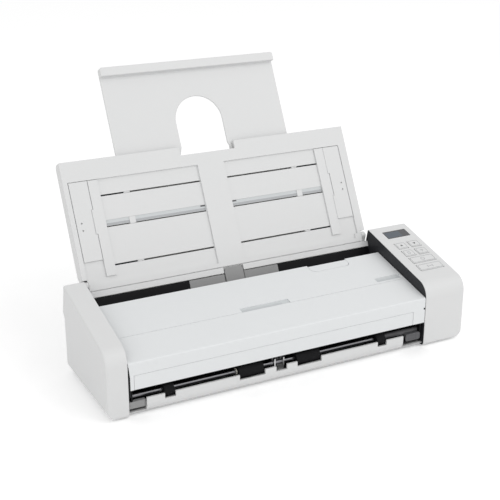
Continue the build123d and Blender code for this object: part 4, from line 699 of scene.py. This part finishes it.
@dataclass
class Assembly:
    """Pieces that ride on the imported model."""

    frame: Frame

    def add_piece(
        self, bm: BMesh, name: str, finish: Finish, node: str, slot: str = "grey_plastic"
    ) -> Object:
        """Turns a finished bmesh into a piece.

        Args:
            bm: Mesh of the piece, which is freed.
            name: Name of the piece.
            finish: Its finish.
            node: CAD node whose body it rides on.
            slot: Material slot of the record that it belongs to; not used.

        Returns:
            The piece.
        """
        return finish_piece(mesh_from(bm, name), name, finish.material(), self.frame.body(node))

    def soften(self, node: str, finish: Finish, edge_mm: float) -> None:
        """Stands a copy with rounded edges in for a white CAD node.

        Args:
            node: Node to copy and replace.
            finish: Finish of the copy.
            edge_mm: Radius of its moulded edges.
        """
        bm = bmesh.new()
        bm.from_mesh(self.frame.nodes[node].data)
        bmesh.ops.remove_doubles(bm, verts=bm.verts, dist=WELD_DISTANCE)
        bmesh.ops.dissolve_limit(bm, angle_limit=FLAT_ANGLE, verts=bm.verts, edges=bm.edges)
        name = f"{node}_moulded"
        mesh = mesh_from(bm, name, turn_outwards=False)
        body = self.frame.body(node)
        piece = finish_piece(mesh, name, finish.material(), body, (node,))
        round_edges(piece, edge_mm)


@dataclass
class ControlPanel(Assembly):
    """Display and keys on the right block.

    The display's picture area and the signs are placed about the middle of their faces.
    """

    display_width: float = 23.2
    display_length: float = 10.6
    display_corner: float = 0.5
    display_depth: float = 3.0
    picture_left: float = -10.4
    picture_right: float = 4.2
    picture_half: float = 3.9
    picture_depth: float = 0.5
    picture_proud: float = 0.02
    ink: float = 0.04
    key_edge: float = 0.25
    key_flange: float = 2.0
    key_corner: float = 1.5
    outline_inset: float = 0.55
    outline_line: float = 0.35
    sign_line: float = 0.4
    triangle_tip: float = 1.35
    triangle_foot: float = 0.945
    page_half: Pair = (1.2, 1.6)
    waves_foot: Pair = (0.0, -1.3)
    waves_radii: Pair = (1.4, 2.4)
    waves_ends: Pair = (45.0, 135.0)
    waves_dot: float = 0.45
    power_radius: float = 1.7
    power_ends: Pair = (-240.0, 60.0)
    power_bar: Pair = (0.4, 2.2)
    scan_side: float = 2.6
    scan_half: float = 1.6
    scan_bar: float = 1.8

    def build(self) -> None:
        """Makes the display and the signs of all keys."""
        out = -self.frame.axis("key_up_press")
        self.display(self.frame.face("display_window", out))
        signs = {
            "key_up": Mark.UP,
            "key_down": Mark.DOWN,
            "key_mode": Mark.PAGE,
            "key_wireless": Mark.WAVES,
            "key_power": Mark.POWER,
            "key_scan": Mark.SCAN,
        }
        for node, mark in signs.items():
            self.soften(node, WHITE_ABS, self.key_edge)
            face = self.frame.face(node, out)
            self.sign(node, face, mark)
            self.outline(node, face)

    def display(self, face: Face) -> None:
        """Replaces the plain window by a tinted pane with its unlit picture area.

        Args:
            face: Top face of the window.
        """
        bm = bmesh.new()
        outline = rounded_rectangle(self.display_width, self.display_length, self.display_corner)
        add_prism(bm, outline, face, -self.display_depth, 0.0)
        picture = rectangle(self.picture_left, self.picture_right, -self.picture_half, self.picture_half)
        for side in add_prism(bm, picture, face, -self.picture_depth, self.picture_proud):
            side.material_index = 1
        mesh = mesh_from(bm, "display_pane")
        pane = TINTED_ACRYLIC.material()
        mesh.materials.append(pane)
        mesh.materials.append(DISPLAY_SLATE.material())
        body = self.frame.body("display_window")
        finish_piece(mesh, "display_pane", pane, body, ("display_window",))

    def sign(self, node: str, face: Face, mark: Mark) -> None:
        """Prints a sign on a key.

        Args:
            node: The key.
            face: Its top face.
            mark: The sign.
        """
        bm = bmesh.new()
        for outline in self.sign_outlines(mark):
            add_prism(bm, outline, face, -self.ink, self.ink)
        ink = DARK_INK if mark in (Mark.UP, Mark.DOWN) else PALE_INK
        self.add_piece(bm, f"{node}_sign", ink, node)

    def sign_outlines(self, mark: Mark) -> list[Outline]:
        """Outlines of a sign about the middle of its key.

        Args:
            mark: The sign.

        Returns:
            Closed outlines, counterclockwise.
        """
        tip, foot, thin = self.triangle_tip, self.triangle_foot, self.sign_line
        if mark is Mark.UP:
            return [[(-tip, -foot), (tip, -foot), (0.0, tip)]]
        if mark is Mark.DOWN:
            return [[(0.0, -tip), (tip, foot), (-tip, foot)]]
        if mark is Mark.PAGE:
            wide, tall = self.page_half
            return [
                rectangle(-wide, wide, tall - thin, tall),
                rectangle(-wide, wide, -tall, thin - tall),
                rectangle(-wide, thin - wide, thin - tall, tall - thin),
                rectangle(wide - thin, wide, thin - tall, tall - thin),
            ]
        if mark is Mark.WAVES:
            arcs = [band(self.waves_foot, radius, thin, *self.waves_ends) for radius in self.waves_radii]
            return [*arcs, dot(self.waves_foot, self.waves_dot, DOT_SIDES)]
        if mark is Mark.POWER:
            ring = band((0.0, 0.0), self.power_radius, thin, *self.power_ends)
            return [ring, rectangle(-thin / 2, thin / 2, *self.power_bar)]
        corners = []
        for side in (-1.0, 1.0):
            left, right = sorted((side * self.scan_side, side * (self.scan_side - thin)))
            corners.append(rectangle(left, right, -self.scan_half, self.scan_half))
        return [*corners, rectangle(-self.scan_bar, self.scan_bar, -thin / 2, thin / 2)]

    def outline(self, node: str, face: Face) -> None:
        """Prints the thin line that runs round a key just inside its edge.

        Args:
            node: The key.
            face: Its top face.
        """
        low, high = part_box(node)
        rises = [vertex.co.dot(face.up) for vertex in self.frame.nodes[node].data.vertices]
        inset = self.key_flange + 2 * self.outline_inset
        width = (high.x - low.x) / MM - inset
        length = (max(rises) - min(rises)) / MM - inset
        line = self.outline_line
        outer = rounded_rectangle(width, length, self.key_corner)
        inner = rounded_rectangle(width - 2 * line, length - 2 * line, self.key_corner - line)
        bm = bmesh.new()
        low_outer, low_inner, high_outer, high_inner = (
            [bm.verts.new(face.place(x, up, level)) for x, up in points]
            for level in (-self.ink, self.ink)
            for points in (outer, inner)
        )
        bridge(bm, low_outer, high_outer)
        bridge(bm, high_outer, high_inner)
        bridge(bm, high_inner, low_inner)
        bridge(bm, low_inner, low_outer)
        self.add_piece(bm, f"{node}_outline", PALE_INK, node)


@dataclass
class RollerTreads(Assembly):
    """Fine ribs moulded round the rubber rollers.

    A pair of rollers is given by its width and the distance of each from the middle.
    """

    exit_radius: float = 6.0
    exit_ribs: int = 40
    exit_pairs: tuple[Pair, ...] = ((21.0, 25.1), (7.8, 93.2))
    tyre_radius: float = 9.0
    tyre_ribs: int = 60
    tyre_pairs: tuple[Pair, ...] = ((16.0, 14.0),)
    rib_width: float = 0.5
    rib_height: float = 0.24
    rib_proud: float = 0.08
    rib_shorter: float = 1.0

    def build(self) -> None:
        """Makes the treads of the exit rollers and of the feed tyres."""
        tree = roller_rib_tree()
        self.tread(tree, "exit_rollers", self.exit_radius, self.exit_ribs, self.exit_pairs)
        self.tread(tree, "feed_tyres", self.tyre_radius, self.tyre_ribs, self.tyre_pairs)

    def tread(
        self, tree: GeometryTree, node: str, radius: float, count: int, pairs: tuple[Pair, ...]
    ) -> None:
        """Makes the treads of one set of rollers as one piece.

        Args:
            tree: The rib tree.
            node: Node of the rollers.
            radius: Their radius.
            count: Ribs round a roller.
            pairs: Width of each pair, and its distance from the middle.
        """
        low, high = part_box(node)
        middle = (low + high) / 2
        bm = bmesh.new()
        for width, offset in pairs:
            points = [middle + side * offset * MM * ACROSS for side in (-1.0, 1.0)]
            inputs = {
                "Radius": (radius + self.rib_proud - self.rib_height / 2) * MM,
                "Width": (width - self.rib_shorter) * MM,
                "Rib Width": self.rib_width * MM,
                "Rib Height": self.rib_height * MM,
                "Count": count,
                "Material": GROUND_RUBBER.material(),
            }
            part = tree.run(f"{node}_tread_part", points, inputs)
            bm.from_mesh(part)
            bpy.data.meshes.remove(part)
        self.add_piece(bm, f"{node}_tread", GROUND_RUBBER, node, "rubber")


@dataclass
class FrontFittings(Assembly):
    """Hinge blocks, and pieces that paint light round the cover's front: a glint and shade on the exit shaft,
    and shade in the cover's gaps.

    Distances behind the front count from the lip's front face. A block is given by its lowest and highest X,
    then its lowest and highest Z. The wall's lining is that much smaller than the block all round.
    """

    block_front: float = 1.9
    block_back: float = 5.2
    block_edge: float = 0.3
    left_block: Sides = (-140.4, -127.4, 6.6, 12.3)
    left_corner: float = 0.3
    right_block: Sides = (102.2, 116.6, 7.5, 14.0)
    right_corner: float = 1.8
    shaft_centre: Pair = (7.5, 14.2)
    shaft_radius: float = 2.02
    glint_collar: Pair = (-52.1, -51.15)
    glint_collar_radius: float = 2.5
    shade_sleeve: Pair = (82.0, 116.5)
    shade_sleeve_radius: float = 2.3
    gap_shade: tuple[Pair, ...] = (
        (-140.72, 17.4), (-139.6, 17.4), (-139.6, 33.0), (-140.5, 41.5), (-140.72, 41.5),
    )
    gap_shade_depth: float = 9.0
    corner_shade: Sides = (117.2, 118.6, 34.3, 35.9)
    corner_shade_depth: float = 0.3
    shade_proud: float = 0.04
    wall_plate: Pair = (119.02, 119.17)
    wall_inset: float = 0.42
    wall_digits: int = 6

    def __post_init__(self) -> None:
        """Finds the lip's front face."""
        self.front = Face(Vector((0.0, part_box("base_casing")[0].y, 0.0)), UPWARD, FORWARD)

    def build(self) -> None:
        """Makes all the small pieces at the front."""
        self.hinge_block("left_hinge_block", self.left_block, self.left_corner, GREY_ABS)
        self.hinge_block("right_hinge_block", self.right_block, self.right_corner, DIM_ABS_AND_SHADE)
        # A white collar paints a glint at the exit shaft's left end.
        self.painted_light_sleeve("shaft_glint_collar", self.glint_collar, self.glint_collar_radius, ACETAL_AND_GLINT)
        # A dark grey sleeve paints the shade on the exit shaft towards its right end.
        self.painted_light_sleeve("painted_light_sleeve", self.shade_sleeve, self.shade_sleeve_radius, DIM_ABS_AND_SHADE)
        self.cover_gap_shades()
        self.inner_wall()

    def hinge_block(self, name: str, sides: Sides, corner: float, finish: Finish) -> None:
        """Makes the block in front of a hinge knuckle.

        Args:
            name: Name of the piece.
            sides: Lowest and highest X, then lowest and highest Z.
            corner: Radius of its corners seen from the front.
            finish: Its finish.
        """
        left, right, low, high = sides
        middle, height = (left + right) / 2, (low + high) / 2
        outline = rounded_rectangle(right - left, high - low, corner)
        placed = [(middle + x, height + up) for x, up in outline]
        bm = bmesh.new()
        add_prism(bm, placed, self.front, -self.block_back, -self.block_front)
        round_edges(self.add_piece(bm, name, finish, "cover_frame"), self.block_edge)

    def painted_light_sleeve(self, name: str, ends: Pair, radius: float, finish: Finish) -> None:
        """Makes a sleeve on the exit shaft whose colour paints light there: white for a glint, dark grey for
        shade.

        Args:
            name: Name of the piece.
            ends: Its lowest and highest X.
            radius: Its outer radius.
            finish: Its finish.
        """
        left, right = ends
        behind, height = self.shaft_centre
        bm = bmesh.new()
        rings = []
        profile = ((left, self.shaft_radius), (left, radius), (right, radius), (right, self.shaft_radius))
        for x, ring_radius in profile:
            points = dot((-behind, height), ring_radius, SLEEVE_SIDES)
            rings.append([bm.verts.new(self.front.place(x, up, out)) for out, up in points])
        for index, ring in enumerate(rings):
            bridge(bm, ring, rings[(index + 1) % len(rings)])
        self.add_piece(bm, name, finish, "exit_shaft")

    def cover_gap_shades(self) -> None:
        """Makes the black sheets that paint the shade in the gap at the cover's left edge and at its right
        front corner.
        """
        bm = bmesh.new()
        add_prism(bm, list(self.gap_shade), self.front, -self.gap_shade_depth, self.shade_proud)
        add_prism(bm, rectangle(*self.corner_shade), self.front, -self.corner_shade_depth, self.shade_proud)
        self.add_piece(bm, "cover_gap_shades", BLACK_SHADE, "cover_shell", "black_plastic")

    def inner_wall(self) -> None:
        """Lines the right block's inner wall up to its edge, following the block's outline."""
        vertices = self.frame.nodes["right_end_cap"].data.vertices
        digits = self.wall_digits
        points = sorted({(round(v.co.y, digits), round(v.co.z, digits)) for v in vertices})
        hull = [Vector(points[index]) for index in convex_hull_2d(points)]
        middle = sum(hull, Vector((0.0, 0.0))) / len(hull)
        bm = bmesh.new()
        rings = []
        for x in self.wall_plate:
            ring = []
            for point in hull:
                arm = point - middle
                drawn_in = middle + arm * (1.0 - self.wall_inset * MM / arm.length)
                ring.append(bm.verts.new((x * MM, drawn_in.x, drawn_in.y)))
            rings.append(ring)
        near, far = rings
        bm.faces.new(near)
        bm.faces.new(list(reversed(far)))
        bridge(bm, near, far)
        self.add_piece(bm, "inner_wall_lining", WALL_ABS, "right_end_cap", "black_plastic")


@dataclass
class TrayShading(Assembly):
    """Painted shade: grey sheets in the groove of the tray, and black sheets in the outer parts of the
    guides' thin slots, over the skids.

    Places are given across from the paper's middle, up the tray and off its front face.
    """

    middle: float = -12.8
    foot: Place = (0.0, 2.947, 68.75)
    up: Place = (0.0, 0.4648, 0.8854)
    floor: float = -1.9
    shade_sheet: float = 0.04
    groove_ends: Pair = (12.4, 99.0)
    low_band: Pair = (45.3, 47.4)
    high_band: Pair = (47.4, 49.95)
    dark_end: Pair = (12.4, 16.6)
    dark_band: Pair = (48.7, 49.95)
    end_shade_sheet: float = 0.06
    slot_shade_ends: Pair = (79.6, 99.8)
    slot_shade_levels: Pair = (-2.7, -2.5)
    slots: Pair = (14.0, 70.0)
    slot_half: float = 0.62

    def __post_init__(self) -> None:
        """Finds the tray's front face."""
        up = Vector(self.up).normalized()
        self.face = Face(Vector(self.foot) * MM, up, ACROSS.cross(up))

    def build(self) -> None:
        """Makes the sheets of painted shade."""
        # Two greys paint the shade in the groove's lower and upper bands, and dark grey paints the shade at
        # its inner ends.
        bands = (
            ("groove_low_shade", self.groove_ends, self.low_band, GROOVE_SHADE, self.shade_sheet),
            ("groove_high_shade", self.groove_ends, self.high_band, PALE_SHADE, self.shade_sheet),
            ("groove_end_shade", self.dark_end, self.dark_band, DIM_ABS_AND_SHADE, self.end_shade_sheet),
        )
        for name, ends, rise, finish, height in bands:
            bm = bmesh.new()
            for side in (-1.0, 1.0):
                outline = self.strip(side, ends, rise)
                add_prism(bm, outline, self.face, self.floor - self.shade_sheet, self.floor + height)
            self.add_piece(bm, name, finish, "tray_front_plate")
        # Black sheets paint the shade in the outer parts of the guides' thin slots.
        for side, node in ((-1.0, "left_guide_base"), (1.0, "right_guide_base")):
            bm = bmesh.new()
            for slot in self.slots:
                outline = self.strip(side, self.slot_shade_ends, (slot - self.slot_half, slot + self.slot_half))
                add_prism(bm, outline, self.face, *self.slot_shade_levels)
            self.add_piece(bm, f"{node}_felt", BLACK_SHADE, node, "black_plastic")

    def strip(self, side: float, ends: Pair, rise: Pair) -> Outline:
        """Outline of a strip on one side of the paper's middle.

        Args:
            side: -1 for the left side and 1 for the right one.
            ends: Distances of its ends from the middle.
            rise: Its lower and upper edge up the tray.

        Returns:
            The outline, counterclockwise.
        """
        left, right = sorted((self.middle + side * ends[0], self.middle + side * ends[1]))
        return rectangle(left, right, *rise)


@dataclass
class FingerRecesses(Assembly):
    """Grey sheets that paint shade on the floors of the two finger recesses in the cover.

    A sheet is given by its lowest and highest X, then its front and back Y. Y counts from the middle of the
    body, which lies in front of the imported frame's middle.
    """

    tilt: float = 12.65
    floor: float = -0.8
    shade_sheet: float = 0.03
    recesses: tuple[Sides, ...] = (
        (-34.3, 8.7, -15.75, -10.55),
        (93.0, 117.0, -13.35, -8.15),
    )
    darker_shade_sheet: float = 0.045
    shades: tuple[Sides, ...] = (
        (-33.5, 2.0, -15.0, -12.6),
        (94.0, 116.0, -12.6, -10.2),
    )
    body_middle: float = -42.5529

    def build(self) -> None:
        """Makes the sheets of painted shade."""
        turn = math.radians(self.tilt)
        face = self.frame.face("cover_shell", Vector((0.0, -math.sin(turn), math.cos(turn))))
        # A pale sheet paints the shade on each recess floor, and a darker strip paints deeper shade towards
        # its front edge.
        self.shade_sheets("finger_recess_painted_shade", self.recesses, face, PALE_SHADE, self.shade_sheet)
        self.shade_sheets("finger_recess_shades", self.shades, face, MIDDLE_SHADE, self.darker_shade_sheet)

    def shade_sheets(
        self, name: str, places: tuple[Sides, ...], face: Face, finish: Finish, height: float
    ) -> None:
        """Makes one set of sheets of painted shade.

        Args:
            name: Name of the piece.
            places: Lowest and highest X, then front and back Y of each sheet.
            face: Top face of the cover.
            finish: Their finish.
            height: Height of the sheet off the recess's floor.
        """
        bm = bmesh.new()
        across = -face.origin.x / MM
        for left, right, front, back in places:
            start, end = ((self.body_middle + y) * MM - face.origin.y for y in (front, back))
            low, high = start / face.up.y / MM, end / face.up.y / MM
            outline = rectangle(left + across, right + across, low, high)
            add_prism(bm, outline, face, self.floor - self.shade_sheet, self.floor + height)
        self.add_piece(bm, name, finish, "cover_shell")


@dataclass
class MouldedShells(Assembly):
    """White shells whose edges are rounded as moulded parts' are."""

    thin_edge: float = 0.08
    thick_edge: float = 0.5
    strip_edge: float = 0.25
    thin_nodes: tuple[str, ...] = (
        "tray_front_plate", "left_guide_base", "right_guide_base",
        "left_guide_flap", "right_guide_flap", "feed_sill",
    )
    thick_nodes: tuple[str, ...] = ("paper_extension", "tray_rear_shell")

    def build(self) -> None:
        """Stands softened copies in for the plain shells."""
        for node in self.thin_nodes:
            self.soften(node, WHITE_ABS, self.thin_edge)
        for node in self.thick_nodes:
            self.soften(node, WHITE_ABS, self.thick_edge)
        self.soften("front_strip", COVER_ABS, self.strip_edge)


@dataclass(frozen=True)
class Viewpoint:
    """Camera that looks as the photograph's did.

    Its azimuth, elevation and roll are in degrees.
    """

    azimuth: float = -27.403
    elevation: float = 20.836
    roll: float = 0.1
    place: Place = (-374.13, -726.49, 388.12)
    focal_pixels: float = 1058.3
    frame_pixels: float = 500.0
    sensor: float = 36.0
    clip_start_m: float = 0.01

    def build(self) -> None:
        """Makes the camera."""
        turn = math.radians(self.azimuth)
        rise = math.radians(self.elevation)
        back = Vector((math.sin(turn) * math.cos(rise), -math.cos(turn) * math.cos(rise), math.sin(rise)))
        right = (-back).cross(UPWARD).normalized()
        up = back.cross(right)
        axes = Matrix((right, up, back)).transposed().to_4x4()
        data = bpy.data.cameras.new("photo_camera")
        data.sensor_width = self.sensor
        data.lens = self.focal_pixels / self.frame_pixels * self.sensor
        data.clip_start = self.clip_start_m
        camera = add_object("photo_camera", data)
        spin = Matrix.Rotation(math.radians(self.roll), 4, "Z")
        camera.matrix_world = Matrix.Translation(Vector(self.place) * MM) @ axes @ spin
        bpy.context.scene.camera = camera


@dataclass(frozen=True)
class Lamp:
    """Soft square lamp, with its place and side in metres."""

    name: str
    place: Place
    side: float
    watts: float

    def build(self, aim: Vector) -> None:
        """Makes the lamp and points it.

        Args:
            aim: Point that it shines at, in metres.
        """
        data = bpy.data.lights.new(self.name, "AREA")
        data.size = self.side
        data.energy = self.watts
        lamp = add_object(self.name, data)
        lamp.location = self.place
        lamp.rotation_mode = "QUATERNION"
        lamp.rotation_quaternion = (aim - Vector(self.place)).to_track_quat("-Z", "Y")


@dataclass(frozen=True)
class Studio:
    """Pale floor, white surroundings and soft lamps."""

    floor_side_m: float = 6.0
    floor_colour: str = "#fafafa"
    floor_lift: float = 0.2
    room_colour: str = "#ffffff"
    room_light: float = 0.8
    room_shown: float = 1.0
    aim_height: float = 80.0
    lamps: tuple[Lamp, ...] = (
        Lamp("key_lamp", (0.9, -1.3, 1.6), 1.4, 9.0),
        Lamp("fill_lamp", (-1.2, -1.4, 1.2), 1.2, 3.0),
    )

    def build(self) -> None:
        """Makes the stage."""
        self.room()
        self.floor()
        for lamp in self.lamps:
            lamp.build(self.aim_height * MM * UPWARD)
        bpy.context.scene.view_settings.view_transform = "Standard"

    def seen_directly(self, tree: NodeTree) -> NodeSocket:
        """One for rays from the camera, a mirror or a pane, and zero for the rest.

        Args:
            tree: Tree that gets the nodes.

        Returns:
            The value's output.
        """
        path = add_node(tree, "ShaderNodeLightPath")
        value = path.outputs["Is Camera Ray"]
        for kind in ("Is Glossy Ray", "Is Transmission Ray"):
            either = add_node(
                tree, "ShaderNodeMath", settings={"operation": "MAXIMUM"},
                links={0: value, 1: path.outputs[kind]},
            )
            value = either.outputs[0]
        return value

    def room(self) -> None:
        """White surroundings that light the scanner a little less than they show."""
        world = bpy.data.worlds.new("white_room")
        tree = emptied_tree(world)
        strength = add_node(
            tree, "ShaderNodeMix", settings={"data_type": "FLOAT"},
            values=dict(zip(MIX_VALUES, (self.room_light, self.room_shown))),
            links={MIX_FACTOR: self.seen_directly(tree)},
        )
        light = add_node(
            tree, "ShaderNodeBackground", values={"Color": linear(self.room_colour)},
            links={"Strength": strength.outputs[0]},
        )
        add_node(tree, "ShaderNodeOutputWorld", links={"Surface": light.outputs[0]})
        bpy.context.scene.world = world

    def floor(self) -> None:
        """Pale floor that keeps the scanner's shadow and shows white round it."""
        material = bpy.data.materials.new("pale_paper_sweep")
        tree = emptied_tree(material)
        paper = add_node(tree, "ShaderNodeBsdfDiffuse", values={"Color": linear(self.floor_colour)})
        lift = add_node(
            tree, "ShaderNodeMath", settings={"operation": "MULTIPLY"}, values={1: self.floor_lift},
            links={0: self.seen_directly(tree)},
        )
        glow = add_node(tree, "ShaderNodeEmission", links={"Strength": lift.outputs[0]})
        both = add_node(tree, "ShaderNodeAddShader", links={0: paper.outputs[0], 1: glow.outputs[0]})
        add_node(tree, "ShaderNodeOutputMaterial", links={"Surface": both.outputs[0]})
        half = self.floor_side_m / 2
        bm = bmesh.new()
        bm.faces.new([bm.verts.new((x, y, 0.0)) for x, y in rectangle(-half, half, -half, half)])
        mesh = mesh_from(bm, "floor")
        mesh.materials.append(material)
        add_object("floor", mesh)


def dress_nodes(frame: Frame) -> None:
    """Gives every CAD node its finish.

    Args:
        frame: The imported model.
    """
    for finish, nodes in NODE_FINISHES.items():
        for node in nodes:
            shown = frame.nodes[node]
            if not shown.material_slots:
                shown.data.materials.append(None)
            for slot in shown.material_slots:
                slot.material = finish.material()
            LOG.info("%s is %s", node, finish.name)


def corners(box: tuple[Vector, Vector]) -> list[list[float]]:
    """A box's two corners as plain lists."""
    return [list(box[0]), list(box[1])]


def main() -> None:
    """Builds the scanner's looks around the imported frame."""
    logging.basicConfig(level=logging.INFO, format="%(message)s")
    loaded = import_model()
    frame = Frame(loaded)
    dress_nodes(frame)
    assemblies = (MouldedShells, ControlPanel, RollerTreads, FrontFittings, TrayShading, FingerRecesses)
    for assembly in assemblies:
        assembly(frame).build()
    Studio().build()
    Viewpoint().build()


if __name__ == "__main__":
    main()
